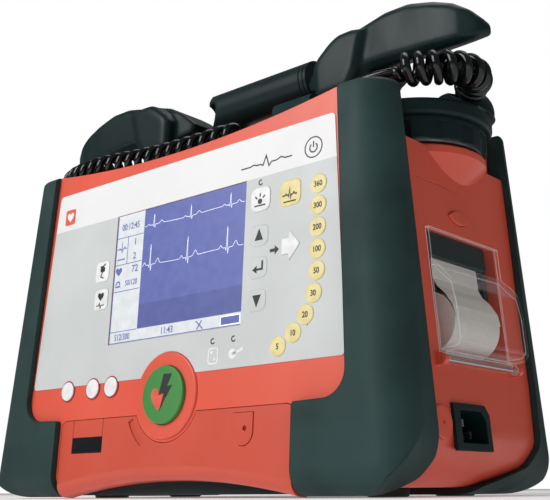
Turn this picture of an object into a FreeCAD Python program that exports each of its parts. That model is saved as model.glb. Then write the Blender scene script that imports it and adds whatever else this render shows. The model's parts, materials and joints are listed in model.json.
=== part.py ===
import FreeCAD, Part
import math
import os
from FreeCAD import Placement, Rotation, Vector

# Portable hospital defibrillator with two hand paddles, in millimetres.
# +Z is up, -Y is the front with the screen, +X is the side with the printer.
# The origin is on the ground, under the middle of the whole object's box.

os.makedirs("parts", exist_ok=True)

# ---------------------------------------------------------------- driving dimensions
# Case: a block whose four walls lean inwards
CASE_HALF_WIDTH = 171.0
CASE_FRONT = -77.0
CASE_BACK = 86.0
CASE_FLOOR = 5.0
CASE_TOP = 229.0
SIDE_TAPER = 0.078
FRONT_LEAN = 0.064
CORNER_RADIUS = 16.0
WALL = 3.0
SPLIT = -50.0
TOP_DIP = 218.8
TOP_ARC = 885.0
GAP = 0.4

# Rubber corner bumpers
PAD = 4.0
BUMPER_TOP = 228.0
BUMPER_SEAT = 224.0
FRONT_BUMPER_EDGE = -46.0
REAR_BUMPER_EDGE = 72.0

# Front panel, measured on the leaning front plane
FOIL_TOP = 212.6
FOIL_BOTTOM = 72.5
FOIL_HALF_TOP = 125.0
FOIL_HALF_BOTTOM = 134.6
FOIL_THICKNESS = 0.5
LCD_WIDTH = 118.0
LCD_HEIGHT = 88.5
LCD_Z = 141.2
BUTTON_Z = 60.6
BUTTON_RADIUS = 18.0
BUTTON_TRAVEL = 2.5
BOSS_RADIUS = 26.5
BOSS_PROUD = 1.5
APRON_RADIUS = 28.0

# Power module drawn out of the lower front
MODULE_HALF = 100.0
MODULE_TOP = 50.0
ARCH_CROWN = 10.9
ARCH_RADIUS = 516.0
FASCIA = 4.0
LIP_DEPTH = 14.0
PACK_HALF = 88.0
PACK_DEPTH = 92.0
TRAY_TOP = 11.0
FOOT_RADIUS = 12.0
FOOT_X = 118.0
FOOT_Y = (-14.0, 58.0)

# Printer in the right wall, measured on the leaning wall
BAY_FRONT = -29.0
BAY_BACK = 46.0
BAY_BOTTOM = 74.0
BAY_TOP = 146.0
BAY_DEPTH = 46.0
BAY_WALL = 2.0
ROLL_RADIUS = 17.5
ROLL_BORE = 6.0
ROLL_WIDTH = 50.0
ROLL_X = -12.0
ROLL_Y = 6.0
ROLL_Z = 95.0
PLATEN_RADIUS = 6.0
PLATEN_X = -12.0
PLATEN_Z = 122.0
DOOR_THICKNESS = 2.0
DOOR_BULGE = 15.0
DOOR_BREAK = 124.0
HINGE_X = 3.2
HINGE_Z = 71.0
SHAFT_PLAY = 0.05
STUD_COVER_Y = -36.2
STUD_COVER_Z = 38.0
LUG_FRONT = (-35.0, -31.4)
LUG_BACK = (48.4, 52.0)

# Left wall and inside
SOCKETS = [(-12.0, 120.0), (22.0, 120.0)]
SOCKET_PITCH = 34.0
SOCKET_HALF = 12.0
BOARD_Y = 42.0
SPEAKER_Y = 79.0
SPEAKER_Z = 82.5

# Paddles
PADDLE_X = 123.0
PADDLE_Y = 16.0
CUP_FLOOR = 199.0
CUP_RADIUS = 53.0
FLANGE_RADIUS = 51.0
RING_RADIUS = 47.0
RING_BOTTOM = 201.0
RING_TOP = 215.7
FLANGE_TOP = 226.0
DOME_TOP = 230.0
ELECTRODE_LOBES = 14
SHIELD_FRONT = -14.5
GRIP_HEEL = 112.0
CAP_LOW = 295.0
CAP_HIGH = 301.0
BUTTON_PLACE = (134.0, 13.0)
GLAND_CENTRE = (156.0, 33.0, 230.0)
GLAND_RADIUS = 16.0

# Carrying handle
HANDLE_RADIUS = 14.5
HANDLE_BORE = 11.5
HANDLE_Y = 13.0
HANDLE_Z = 276.5
HANDLE_LEFT = -50.0
HANDLE_RIGHT = 53.4

# Curly cords
COIL_RADIUS = 10.5


# ---------------------------------------------------------------- helpers
def box(x0, x1, y0, y1, z0, z1):
    """A plain box between two corners."""
    return Part.makeBox(x1 - x0, y1 - y0, z1 - z0, Vector(x0, y0, z0))


def cylinder(radius, start, end):
    """A cylinder from one end point to the other."""
    a = Vector(*start)
    b = Vector(*end)
    return Part.makeCylinder(radius, (b - a).Length, a, b - a)


def fused(*shapes):
    """One solid out of several that touch or overlap."""
    return shapes[0].multiFuse(list(shapes[1:])).removeSplitter()


def prism(points, direction):
    """A straight-sided prism: a closed outline moved along a direction."""
    outline = [Vector(*p) for p in points]
    return Part.Face(Part.makePolygon(outline + outline[:1])).extrude(Vector(*direction))


def mirrored(shape):
    """The same shape on the other side of the middle plane."""
    return shape.mirror(Vector(0, 0, 0), Vector(1, 0, 0))


def rounded(shape, radius, wanted):
    """Fillets the edges that a test on their middle point picks."""
    edges = [e for e in shape.Edges if wanted(e.CenterOfMass, e)]
    return shape.makeFillet(radius, edges)


def rounded_rectangle(x0, x1, y0, y1, z, radius):
    """A level rectangle with round corners, as a wire."""
    k = radius * (1 - math.sqrt(0.5))
    edges = []
    corners = [(x1, y0, -1, 1), (x1, y1, -1, -1), (x0, y1, 1, -1), (x0, y0, 1, 1)]
    arcs = []
    for x, y, sx, sy in corners:
        first = Vector(x + sx * radius, y, z)
        last = Vector(x, y + sy * radius, z)
        if sx * sy > 0:
            first, last = last, first
        arcs.append((first, Vector(x + sx * k, y + sy * k, z), last))
    for i, (first, middle, last) in enumerate(arcs):
        edges.append(Part.Arc(first, middle, last).toShape())
        edges.append(Part.LineSegment(last, arcs[(i + 1) % 4][0]).toShape())
    return Part.Wire(edges)


def wall_x(z, grow=0.0):
    """Half width of the case at a height, with its walls moved out by grow."""
    return CASE_HALF_WIDTH - SIDE_TAPER * z + grow


def front_y(z, grow=0.0):
    return CASE_FRONT + FRONT_LEAN * z - grow


def back_y(grow=0.0):
    return CASE_BACK + grow


def leaning_block(grow, z0, z1, radius):
    """The case's block with its leaning walls moved out by grow."""
    wires = []
    for z in (z0, z1):
        x = wall_x(z, grow)
        wires.append(rounded_rectangle(-x, x, front_y(z, grow), back_y(grow), z, radius))
    return Part.makeLoft(wires, True, True)


def round_bottom(grow, z0, z1):
    """The space inside the rounded bottom edges: large along the sides, small front and back."""
    low, high = -400.0, 400.0
    side = prism([(-wall_x(z0, grow), low, z0), (wall_x(z0, grow), low, z0),
                  (wall_x(z1, grow), low, z1), (-wall_x(z1, grow), low, z1)], (0, high - low, 0))
    side = rounded(side, 28.0 + grow, lambda c, e: abs(c.z - z0) < 1 and abs(c.x) > 100)
    ends = prism([(low, front_y(z0, grow), z0), (low, back_y(grow), z0),
                  (low, back_y(grow), z1), (low, front_y(z1, grow), z1)], (high - low, 0, 0))
    ends = rounded(ends, 10.0 + grow, lambda c, e: abs(c.z - z0) < 1 and abs(c.y) > 50)
    return side.common(ends)


def on_front(shape):
    """Puts a shape drawn on the plane Y = 0 (front towards -Y) onto the leaning front."""
    angle = math.degrees(math.atan(FRONT_LEAN))
    shape.Placement = Placement(Vector(0, CASE_FRONT, 0), Rotation(Vector(1, 0, 0), -angle))
    return shape


def on_right(shape):
    """Puts a shape drawn on the plane X = 0 (outside towards +X) onto the leaning right wall."""
    angle = math.degrees(math.atan(SIDE_TAPER))
    shape.Placement = Placement(Vector(CASE_HALF_WIDTH, 0, 0), Rotation(Vector(0, 1, 0), -angle))
    return shape


def ring_xz(outer, inner, x, z, y0, y1):
    """A ring whose axis runs front to back."""
    tube = cylinder(outer, (x, y0, z), (x, y1, z))
    return tube.cut(cylinder(inner, (x, y0 - 1, z), (x, y1 + 1, z)))


def return_dome(wide, narrow, skin, height, base, axis):
    """A hollow rubber cone that pushes a button back, its wide end at base."""
    start = Vector(*base)
    outer = Part.makeCone(wide, narrow, height, start, Vector(*axis))
    inner = Part.makeCone(wide - skin, narrow - skin, height, start, Vector(*axis))
    return outer.cut(inner)


def export(name, *shapes):
    """Writes one node's STEP file."""
    solids = []
    for shape in shapes:
        solids += shape.Solids
    assert solids and all(s.isValid() for s in solids), name
    body = solids[0] if len(solids) == 1 else Part.makeCompound(solids)
    body.exportStep("parts/" + name + ".step")
    print(f"{name:28s} solids {len(solids):3d}  volume {body.Volume / 1000:8.2f} cm3")


# ---------------------------------------------------------------- case
def button_cylinder(radius, y0, y1):
    """A cylinder about the shock button's axis, before it is put on the front."""
    return cylinder(radius, (0, y0, BUTTON_Z), (0, y1, BUTTON_Z))


def module_mouth(margin, y0, y1):
    """The lower front opening that the power module fills, less the round apron."""
    half = MODULE_HALF - margin
    mouth = box(-half, half, y0, y1, -5, MODULE_TOP - margin)
    mouth = rounded(mouth, 5.0, lambda c, e: c.z > 40 and abs(c.x) > half - 1
                    and abs(e.Vertexes[0].Point.y - e.Vertexes[1].Point.y) > 1)
    return mouth.cut(button_cylinder(APRON_RADIUS + margin, y0 - 1, y1 + 1))


def case_block():
    """The outside of the red case as one solid."""
    body = leaning_block(0, CASE_FLOOR, CASE_TOP, CORNER_RADIUS)
    body = body.common(round_bottom(0, CASE_FLOOR, CASE_TOP))
    dip = cylinder(TOP_ARC, (0, -200, TOP_DIP + TOP_ARC), (0, 200, TOP_DIP + TOP_ARC))
    body = body.cut(dip)
    for side in (-1, 1):
        cup = cylinder(CUP_RADIUS, (side * PADDLE_X, PADDLE_Y, CUP_FLOOR),
                       (side * PADDLE_X, PADDLE_Y, CASE_TOP + 5))
        x0, x1 = sorted((side * 146.0, side * 190.0))
        notch = box(x0, x1, FRONT_BUMPER_EDGE, REAR_BUMPER_EDGE + PAD, CUP_FLOOR - 2, CASE_TOP + 5)
        body = body.cut(fused(cup, notch))
        lip = cylinder(46.0, (side * PADDLE_X, PADDLE_Y, CUP_FLOOR - 5),
                       (side * PADDLE_X, PADDLE_Y, CUP_FLOOR))
        lip = rounded(lip, 1.5, lambda c, e: abs(c.z - CUP_FLOOR) < 0.1)
        skirt = Part.makeCone(27.0, 46.0, 20.0, Vector(side * PADDLE_X, PADDLE_Y, CUP_FLOOR - 25))
        body = fused(body, lip, skirt)
    return body


def bumper_seats():
    """The steps in the case's top corners that the bumpers cap."""
    seats = []
    for side in (-1, 1):
        x0, x1 = sorted((side * 129.0, side * 200.0))
        seats.append(box(x0, x1, -90, FRONT_BUMPER_EDGE, BUMPER_SEAT, 240))
        seats.append(box(x0, x1, REAR_BUMPER_EDGE - 2, 110, BUMPER_SEAT, 240))
    return seats


def case_cavity():
    """The room inside the case."""
    room = leaning_block(-WALL, CASE_FLOOR + WALL, CUP_FLOOR - 4, CORNER_RADIUS - WALL)
    room = room.common(round_bottom(-WALL, CASE_FLOOR + WALL, CUP_FLOOR - 4))
    attic = box(-62, 62, -58, CASE_BACK - 4, CUP_FLOOR - 6, TOP_DIP - WALL)
    return fused(room, attic)


def bumper_outline():
    """Front view of a right bumper: leaning down to a round corner, in to a crisp one, and down."""
    inner = [(128.0, 240.0), (137.5, 51.0), (101.5, 50.0), (101.5, -5.0), (220.0, -5.0), (220.0, 240.0)]
    outline = prism([(x, -120, z) for x, z in inner], (0, 240, 0))
    outline = rounded(outline, 15.0, lambda c, e: abs(c.y) < 1 and abs(c.x - 137.5) < 0.1 and abs(c.z - 51) < 0.1)
    return rounded(outline, 2.0, lambda c, e: abs(c.y) < 1 and abs(c.x - 101.5) < 0.1 and abs(c.z - 50) < 0.1)


def bumper_zone(side_view):
    """The space that a right bumper may fill, from its side view."""
    profile = prism([(60, y, z) for y, z in side_view], (200, 0, 0))
    profile = rounded(profile, 5.0, lambda c, e: abs(c.x - 160) < 1 and 2 < c.z < 60 and abs(c.y) < 100)
    return bumper_outline().common(profile)


def bumper_zone_front():
    edge = FRONT_BUMPER_EDGE
    return bumper_zone([(-120.0, -5.0), (-120.0, 240.0), (edge, 240.0), (edge, 20.0), (edge - 5, 9.0),
                        (edge - 15, 3.0), (edge - 20, -5.0)])


def bumper_zone_rear():
    edge = REAR_BUMPER_EDGE
    return bumper_zone([(120.0, -5.0), (120.0, 240.0), (edge, 240.0), (edge, 187.0), (edge - 3, 116.0),
                        (edge - 3, 65.0), (edge - 6, 28.0), (edge - 15, 16.0), (edge - 48, 6.0),
                        (edge - 54, -5.0)])


def bumpers(case, cups):
    """The four rubber corner bumpers, cut to fit round the case."""
    skin = leaning_block(PAD, CASE_FLOOR - PAD, BUMPER_TOP, CORNER_RADIUS + PAD)
    skin = skin.common(round_bottom(PAD, CASE_FLOOR - PAD, BUMPER_TOP))
    skin = rounded(skin, 3.5, lambda c, e: abs(c.z - BUMPER_TOP) < 0.5)
    found = {}
    for name, zone in (("front", bumper_zone_front()), ("rear", bumper_zone_rear())):
        right = skin.common(zone).cut(case).cut(cups)
        for y in FOOT_Y:
            right = right.cut(cylinder(FOOT_RADIUS + 0.3, (FOOT_X, y, -1), (FOOT_X, y, CASE_FLOOR + 1)))
        right = max(right.Solids, key=lambda s: s.Volume)
        found["bumper_" + name + "_right"] = right
        found["bumper_" + name + "_left"] = mirrored(right)
    return found


def screw_places():
    """Where the screws hold the two halves together, on the back: x and z."""
    return [(x, z) for x in (-90.0, 90.0) for z in (30.0, 184.0)]


def build_case():
    block = case_block()
    seated = block
    for seat in bumper_seats():
        seated = seated.cut(seat)
    cups = [cylinder(CUP_RADIUS, (s * PADDLE_X, PADDLE_Y, CUP_FLOOR),
                     (s * PADDLE_X, PADDLE_Y, CASE_TOP + 5)) for s in (-1, 1)]
    pads = bumpers(seated, cups[1])
    shell = seated.cut(case_cavity())
    tray_mouth = box(-99.0, 99.0, -90, 90, -1, TRAY_TOP)
    shell = shell.cut(tray_mouth)

    front = shell.common(box(-200, 200, -120, SPLIT, 0, 240))
    boss = button_cylinder(BOSS_RADIUS, -BOSS_PROUD, 1)
    boss = rounded(boss, 1.2, lambda c, e: abs(c.y + BOSS_PROUD) < 0.1 and len(e.Vertexes) == 1)
    cup_wall = button_cylinder(22.0, 2, 15).cut(button_cylinder(20.5, 1, 13.5))
    cup_wall = on_front(cup_wall)
    apron = on_front(button_cylinder(APRON_RADIUS, 0, WALL))
    front = front.cut(on_front(module_mouth(0, -10, 30)))
    front = fused(front, on_front(boss), apron)
    front = front.cut(on_front(button_cylinder(BUTTON_RADIUS, -5, 10)))
    front = fused(front, cup_wall)
    window = box(-LCD_WIDTH / 2, LCD_WIDTH / 2, -5, 10,
                 LCD_Z - LCD_HEIGHT / 2, LCD_Z + LCD_HEIGHT / 2)
    front = front.cut(on_front(window))

    rear = shell.common(box(-200, 200, SPLIT, 120, 0, 240))
    bay = box(-20, 10, BAY_FRONT - BAY_WALL, BAY_BACK + BAY_WALL,
              BAY_BOTTOM - BAY_WALL, BAY_TOP + BAY_WALL)
    rear = rear.cut(on_right(bay))
    rear = rear.cut(on_right(box(-10, 10, -23.5, 11.5, 25.0, 47.5)))
    rear = rear.cut(on_right(catch_solid(0.3, -10, 5)))
    seam = box(-0.6, 1, -36.0, 13.0, 174.8, 175.4)
    rear = rear.cut(on_right(seam))
    for y in (LUG_FRONT, LUG_BACK):
        lug = fused(cylinder(3.2, (HINGE_X, y[0], HINGE_Z), (HINGE_X, y[1], HINGE_Z)),
                    box(-1, HINGE_X, y[0], y[1], HINGE_Z - 3.2, HINGE_Z + 3.2))
        lug = lug.cut(cylinder(1.0, (HINGE_X, y[0] - 1, HINGE_Z), (HINGE_X, y[1] + 1, HINGE_Z)))
        rear = fused(rear, on_right(lug))
    middle = (SOCKETS[0][0] + SOCKETS[1][0]) / 2
    rear = rear.cut(mirrored(on_right(box(-9, 3, middle - SOCKET_PITCH, middle + SOCKET_PITCH,
                                          SOCKETS[0][1] - SOCKET_HALF, SOCKETS[0][1] + SOCKET_HALF))))
    for i in range(9):
        z = 60.0 + 5.0 * i
        rear = rear.cut(box(-25, 25, 60, 90, z, z + 2.2))
    for x, z in screw_places():
        shank = cylinder(2.0, (x, 40, z), (x, back_y() - 1.0, z))
        rear = rear.cut(fused(shank, cylinder(3.8, (x, back_y() - 1.8, z), (x, 95, z))))
    for x in (-135.0, 98.0):
        for z in (70.0, 180.0):
            rear = fused(rear, cylinder(3.0, (x, BOARD_Y + 1.6, z), (x, back_y() - 1.0, z)))
    return front, rear, pads


def base_tray():
    """The black tray under the case, which is also the floor of the module's bay."""
    front = CASE_FRONT + LIP_DEPTH + 2.0
    tray = box(-98.8, 98.8, front, CASE_BACK - 3.4, 2.0, TRAY_TOP - 0.2)
    tray = rounded(tray, 3.0, lambda c, e: abs(c.z - 2) < 0.1)
    for x in (-60.0, 60.0):
        tray = tray.cut(box(x - 14, x + 14, front + 6, 60, 1, 4))
    return tray


def foot(x, y):
    pad = cylinder(FOOT_RADIUS, (x, y, 0), (x, y, CASE_FLOOR))
    return rounded(pad, 1.5, lambda c, e: abs(c.z) < 0.1 and len(e.Vertexes) == 1)


# ---------------------------------------------------------------- front panel
def keypad_foil():
    """The printed key membrane, with an opening for the screen and one for the boss."""
    foil = prism([(-FOIL_HALF_BOTTOM, 0, FOIL_BOTTOM), (FOIL_HALF_BOTTOM, 0, FOIL_BOTTOM),
                  (FOIL_HALF_TOP, 0, FOIL_TOP), (-FOIL_HALF_TOP, 0, FOIL_TOP)],
                 (0, -FOIL_THICKNESS, 0))
    foil = rounded(foil, 3.0, lambda c, e: abs(e.Vertexes[0].Point.y - e.Vertexes[1].Point.y) > 0.1)
    foil = foil.cut(button_cylinder(BOSS_RADIUS + 0.2, -5, 5))
    window = box(-LCD_WIDTH / 2, LCD_WIDTH / 2, -5, 5,
                 LCD_Z - LCD_HEIGHT / 2, LCD_Z + LCD_HEIGHT / 2)
    return on_front(foil.cut(window))


def front_plate(half_width, z0, z1, y0, y1):
    return on_front(box(-half_width, half_width, y0, y1, z0, z1))


def lcd_module():
    """The screen's glass on its metal frame."""
    half = LCD_WIDTH / 2 + 3
    frame = box(-half, half, WALL + 0.1, 11.0, LCD_Z - LCD_HEIGHT / 2 - 4, LCD_Z + LCD_HEIGHT / 2 + 4)
    return on_front(rounded(frame, 1.5, lambda c, e: abs(c.y - 7.05) < 0.1))


def shock_button():
    """The round button with a retaining rim behind the wall."""
    cap = button_cylinder(BUTTON_RADIUS - 0.3, -BOSS_PROUD - BUTTON_TRAVEL, WALL + 0.3)
    cap = rounded(cap, 1.0, lambda c, e: c.y < -3.9 and len(e.Vertexes) == 1)
    rim = button_cylinder(20.0, WALL + 0.3, WALL + 2.3)
    stem = button_cylinder(3.0, WALL + 2, WALL + 6.3)
    return on_front(fused(cap, rim, stem))


def module_fascia():
    """The front of the power module: a plate with a thick arched lip, and places for its pieces."""
    half = MODULE_HALF - GAP
    plate = box(-half, half, 0, LIP_DEPTH, -5, MODULE_TOP)
    arch = cylinder(ARCH_RADIUS, (0, -20, ARCH_CROWN - ARCH_RADIUS), (0, 30, ARCH_CROWN - ARCH_RADIUS))
    plate = plate.cut(arch)
    plate = rounded(plate, 8.0, lambda c, e: abs(c.y) < 0.1 and c.z < 12 and e.Length > 60)
    plate = plate.common(module_mouth(GAP, -1, LIP_DEPTH + 1))
    plate = plate.cut(box(-94, 94, FASCIA, LIP_DEPTH + 1, 17, 60))
    groove = ring_xz(36.5, 31.5, 0, BUTTON_Z, -1, 1.2)
    sector = prism([(0, -2, BUTTON_Z), (-60, -2, 35), (-40, -2, 5)], (0, 6, 0))
    plate = plate.cut(groove.common(sector))
    plate = plate.cut(box(-87.6, -57.2, -1, 2.2, 28.3, 38.5))
    for x in (-87.4, -57.9):
        plate = plate.cut(box(x, x + 0.5, -1, 0.5, 38.5, 60))
    plate = plate.cut(tab_solid(0.3, -1, 8))
    return on_front(plate)


def tab_solid(margin, y0, y1):
    """The release tab's outline: straight sides and a round lower end."""
    radius = 7.6 + margin
    round_end = cylinder(radius, (63.8, y0, 36.0), (63.8, y1, 36.0))
    return fused(round_end, box(63.8 - radius, 63.8 + radius, y0, y1, 36.0, 46.5 + margin))


def release_tab():
    tab = tab_solid(0, -0.6, FASCIA + 1)
    tab = tab.cut(cylinder(1.6, (65.5, -2, 37.8), (65.5, 1.2, 37.8)))
    return on_front(tab)


def battery_pack():
    """The battery's case behind the fascia, hollowed along its top to pass under the button's boss."""
    y0 = CASE_FRONT + LIP_DEPTH + 3
    pack = box(-PACK_HALF, PACK_HALF, y0, y0 + PACK_DEPTH, TRAY_TOP + 1, 37.0)
    pack = rounded(pack, 3.0, lambda c, e: abs(c.y - y0 - PACK_DEPTH / 2) < 0.1)
    for x in (-60.0, 60.0):
        pack = pack.cut(box(x - 6, x + 6, y0 + 10, y0 + PACK_DEPTH - 10, 36.2, 40))
    neck = on_front(box(-80, 54, FASCIA, LIP_DEPTH + 6, 19, 31))
    path = cylinder(APRON_RADIUS + 1.5, (0, -90, BUTTON_Z), (0, 90, BUTTON_Z))
    return fused(pack, neck).cut(path)


# ---------------------------------------------------------------- printer side
def catch_solid(margin, x0, x1):
    """The printer door's catch: a lens seen from the side."""
    half, rise = 11.0 + margin, 4.2 + margin
    upper = Part.Arc(Vector(x0, 8 - half, 158), Vector(x0, 8, 158 + rise), Vector(x0, 8 + half, 158))
    lower = Part.Arc(Vector(x0, 8 + half, 158), Vector(x0, 8, 158 - rise), Vector(x0, 8 - half, 158))
    face = Part.Face(Part.Wire([upper.toShape(), lower.toShape()]))
    return face.extrude(Vector(x1 - x0, 0, 0))


def printer_bay():
    """The tub behind the printer's door, open to the outside, with the paper roll's spindle across it."""
    tub = box(-BAY_DEPTH, 0, BAY_FRONT - BAY_WALL, BAY_BACK + BAY_WALL,
              BAY_BOTTOM - BAY_WALL, BAY_TOP + BAY_WALL)
    room = box(-BAY_DEPTH + BAY_WALL, 5, BAY_FRONT, BAY_BACK, BAY_BOTTOM, BAY_TOP)
    spindle = roll_cylinder(ROLL_BORE - SHAFT_PLAY, BAY_FRONT - 1, BAY_BACK + 1)
    return on_right(fused(tub.cut(room), spindle))


def print_mechanism():
    """The print head's block between two cheeks that carry the platen's shaft."""
    y0, y1 = BAY_FRONT + 0.2, BAY_BACK - 6
    block = box(-38, -3, y0, y1, 130.0, BAY_TOP - 0.2)
    block = rounded(block, 3.0, lambda c, e: abs(c.x + 3) < 0.1 and abs(c.z - 130) < 0.1)
    shape = block
    for a in (y0, y1 - 4):
        shape = fused(shape, box(-24, -4, a, a + 4, ROLL_Z + ROLL_RADIUS + 1, 131))
    shape = shape.cut(cylinder(2.0, (PLATEN_X, y0 - 1, PLATEN_Z), (PLATEN_X, y1 + 1, PLATEN_Z)))
    paper_edge = ROLL_Y + ROLL_WIDTH / 2
    other_edge = ROLL_Y - ROLL_WIDTH / 2
    shape = shape.cut(box(-6.9, -4.2, other_edge - 1, paper_edge + 1, 110, 150))
    return on_right(shape)


def platen_roller():
    y0, y1 = BAY_FRONT + 0.2, BAY_BACK - 6
    roller = cylinder(PLATEN_RADIUS, (PLATEN_X, y0 + 4.5, PLATEN_Z), (PLATEN_X, y1 - 4.5, PLATEN_Z))
    shaft = cylinder(2.0 - SHAFT_PLAY, (PLATEN_X, y0, PLATEN_Z), (PLATEN_X, y1, PLATEN_Z))
    return on_right(fused(roller, shaft))


def roll_cylinder(radius, y0, y1):
    return cylinder(radius, (ROLL_X, y0, ROLL_Z), (ROLL_X, y1, ROLL_Z))


def paper_roll():
    y0, y1 = ROLL_Y - ROLL_WIDTH / 2, ROLL_Y + ROLL_WIDTH / 2
    roll = roll_cylinder(ROLL_RADIUS, y0, y1).cut(roll_cylinder(ROLL_BORE, y0 - 1, y1 + 1))
    return on_right(roll)


def paper_strip():
    """The paper from the front of the roll, past the platen and into the print head."""
    y0 = ROLL_Y - ROLL_WIDTH / 2
    line = [(ROLL_X + ROLL_RADIUS + 0.9, ROLL_Z), (5.4, 102.0), (1.6, 109.0), (-2.8, 114.0),
            (-5.0, 119.0), (-5.3, 142.0)]
    thick = 0.3
    back = [(x - thick, z) for x, z in reversed(line)]
    return on_right(prism([(x, y0, z) for x, z in line + back], (0, ROLL_WIDTH, 0)))


def door_profile(inset):
    """The door seen from its end: flat above, swelling out below, with its back open."""
    x0 = 0.4
    top = BAY_TOP - 0.4 - inset
    low = BAY_BOTTOM + 1.0 + inset
    flat = x0 + DOOR_THICKNESS - inset
    full = DOOR_BULGE - inset
    return [(x0 - 0.01, low), (full - 3, low), (full, low + 3), (full, DOOR_BREAK - 24),
            (full - 1.5, DOOR_BREAK - 12), (flat + 5, DOOR_BREAK - 3 - inset), (flat, DOOR_BREAK + 2),
            (flat, top), (x0 - 0.01, top)]


def printer_door():
    """The clear door: a moulded shell on a knuckle that turns on the hinge pin."""
    y0, y1 = BAY_FRONT - 1.5, BAY_BACK + 1.5
    outer = prism([(x, y0, z) for x, z in door_profile(0)], (0, y1 - y0, 0))
    outer = rounded(outer, 4.0, lambda c, e: c.x > 8 and e.Length < 60
                    and min(abs(c.y - y0), abs(c.y - y1)) < 0.5 and c.z < DOOR_BREAK - 12)
    inner = prism([(x, y0 + DOOR_THICKNESS, z) for x, z in door_profile(DOOR_THICKNESS)],
                  (0, y1 - y0 - 2 * DOOR_THICKNESS, 0))
    shell = outer.cut(inner)
    plate = box(0.4, 0.4 + DOOR_THICKNESS, y0, y1, DOOR_BREAK, BAY_TOP - 0.4)
    knuckle = cylinder(2.6, (HINGE_X, y0, HINGE_Z), (HINGE_X, y1, HINGE_Z))
    web = box(HINGE_X - 1.2, HINGE_X + 1.2, y0, y1, HINGE_Z, BAY_BOTTOM + 1.5)
    door = fused(shell, plate, knuckle, web)
    door = door.cut(cylinder(1.0 + SHAFT_PLAY, (HINGE_X, y0 - 1, HINGE_Z), (HINGE_X, y1 + 1, HINGE_Z)))
    return on_right(door)


def door_hinge_pin():
    return on_right(cylinder(1.0, (HINGE_X, LUG_FRONT[0], HINGE_Z), (HINGE_X, LUG_BACK[1], HINGE_Z)))


def door_catch():
    catch = catch_solid(0, -5.0, 1.6)
    catch = rounded(catch, 0.8, lambda c, e: abs(c.x - 1.6) < 0.1)
    stop = box(-7.0, -5.0, -5, 21, 153.0, 163.0)
    return on_right(fused(catch, stop))


def mains_inlet():
    """The mains inlet: a flange with one cut corner, and a deep socket."""
    flange = prism([(0, -25.5, 23.5), (0, 12.0, 23.5), (0, 12.0, 43.5), (0, 7.5, 48.5),
                    (0, -25.5, 48.5)], (2.0, 0, 0))
    barrel = box(-24, 0.1, -23.4, 11.4, 25.1, 47.4)
    socket = prism([(-20, -19.5, 27.5), (-20, 7.5, 27.5), (-20, 7.5, 40.0), (-20, 3.0, 45.0),
                    (-20, -19.5, 45.0)], (30, 0, 0))
    return on_right(fused(flange, barrel).cut(socket))


def inlet_pins():
    """The three flat contacts in the socket."""
    pins = []
    for y, z in ((-13.0, 33.0), (1.0, 33.0), (-6.0, 39.5)):
        pins.append(on_right(box(-20.0, -5.0, y - 1.0, y + 1.0, z - 2.0, z + 2.0)))
    return pins


def side_cap():
    """A round cover over the equipotential stud, with a dimple in its middle."""
    cap = cylinder(9.2, (0, STUD_COVER_Y, STUD_COVER_Z), (1.6, STUD_COVER_Y, STUD_COVER_Z))
    cap = rounded(cap, 1.0, lambda c, e: abs(c.x - 1.6) < 0.1 and len(e.Vertexes) == 1)
    return on_right(cap.cut(cylinder(1.2, (0.8, STUD_COVER_Y, STUD_COVER_Z), (3, STUD_COVER_Y, STUD_COVER_Z))))


def lead_sockets():
    """The two sockets for patient leads, whose square fronts fill one opening in the left wall."""
    half, wide = SOCKET_HALF - 0.2, SOCKET_PITCH / 2 - 0.2
    found = []
    for y, z in SOCKETS:
        barrel = cylinder(8.9, (-14, y, z), (0.1, y, z))
        front = box(-WALL, 0.6, y - wide, y + wide, z - half, z + half)
        rim = cylinder(11.0, (0, y, z), (1.8, y, z))
        well = cylinder(6.5, (-11, y, z), (5, y, z))
        found.append(mirrored(on_right(fused(barrel, front, rim).cut(well))))
    return found


# ---------------------------------------------------------------- inside
def internals():
    """The pieces inside the case, by name."""
    shelf = box(-150, 112, -52, 68, 51.0, 53.5)
    for x, y in ((-140, 30), (100, 30), (-140, 60), (100, 60)):
        shelf = fused(shelf, cylinder(4.0, (x, y, 53), (x, y, 58)))
    shelf = shelf.cut(box(-30, 30, -60, -46, 40, 60))
    board = box(-145, 108, BOARD_Y, BOARD_Y + 1.6, 58.0, 190.0)
    capacitor = cylinder(27.0, (-120, -8, 83), (-30, -8, 83))
    capacitor = rounded(capacitor, 2.5, lambda c, e: len(e.Vertexes) == 1)
    clamp = cylinder(29.0, (-84, -8, 83), (-66, -8, 83)).cut(cylinder(27.1, (-85, -8, 83), (-65, -8, 83)))
    clamp = fused(clamp, box(-84, -66, -42, -34, 53.5, 60), box(-84, -66, 18, 26, 53.5, 60),
                  box(-84, -66, -36, -30, 53.5, 78), box(-84, -66, 14, 20, 53.5, 78))
    clamp = clamp.cut(cylinder(27.1, (-85, -8, 83), (-65, -8, 83)))
    inductor = cylinder(24.0, (30, -10, 53.5), (30, -10, 85)).cut(cylinder(10.0, (30, -10, 50), (30, -10, 90)))
    supply = box(104, 140, -34, 30, 12.0, 48.0)
    supply = rounded(supply, 2.0, lambda c, e: abs(c.z - 30) < 0.1)
    cone = Part.makeCone(12.0, 26.0, 11.0, Vector(0, SPEAKER_Y - 8.5, SPEAKER_Z), Vector(0, 1, 0))
    magnet = cylinder(16.0, (0, SPEAKER_Y - 21, SPEAKER_Z), (0, SPEAKER_Y - 8, SPEAKER_Z))
    basket = cylinder(27.5, (0, SPEAKER_Y, SPEAKER_Z), (0, SPEAKER_Y + 2, SPEAKER_Z))
    speaker = fused(cone, magnet, basket)
    return {
        "chassis_shelf": [shelf],
        "main_board": [board],
        "hv_capacitor": [capacitor],
        "capacitor_clamp": [clamp],
        "hv_inductor": [inductor],
        "power_supply": [supply],
        "speaker": [speaker],
    }


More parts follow.
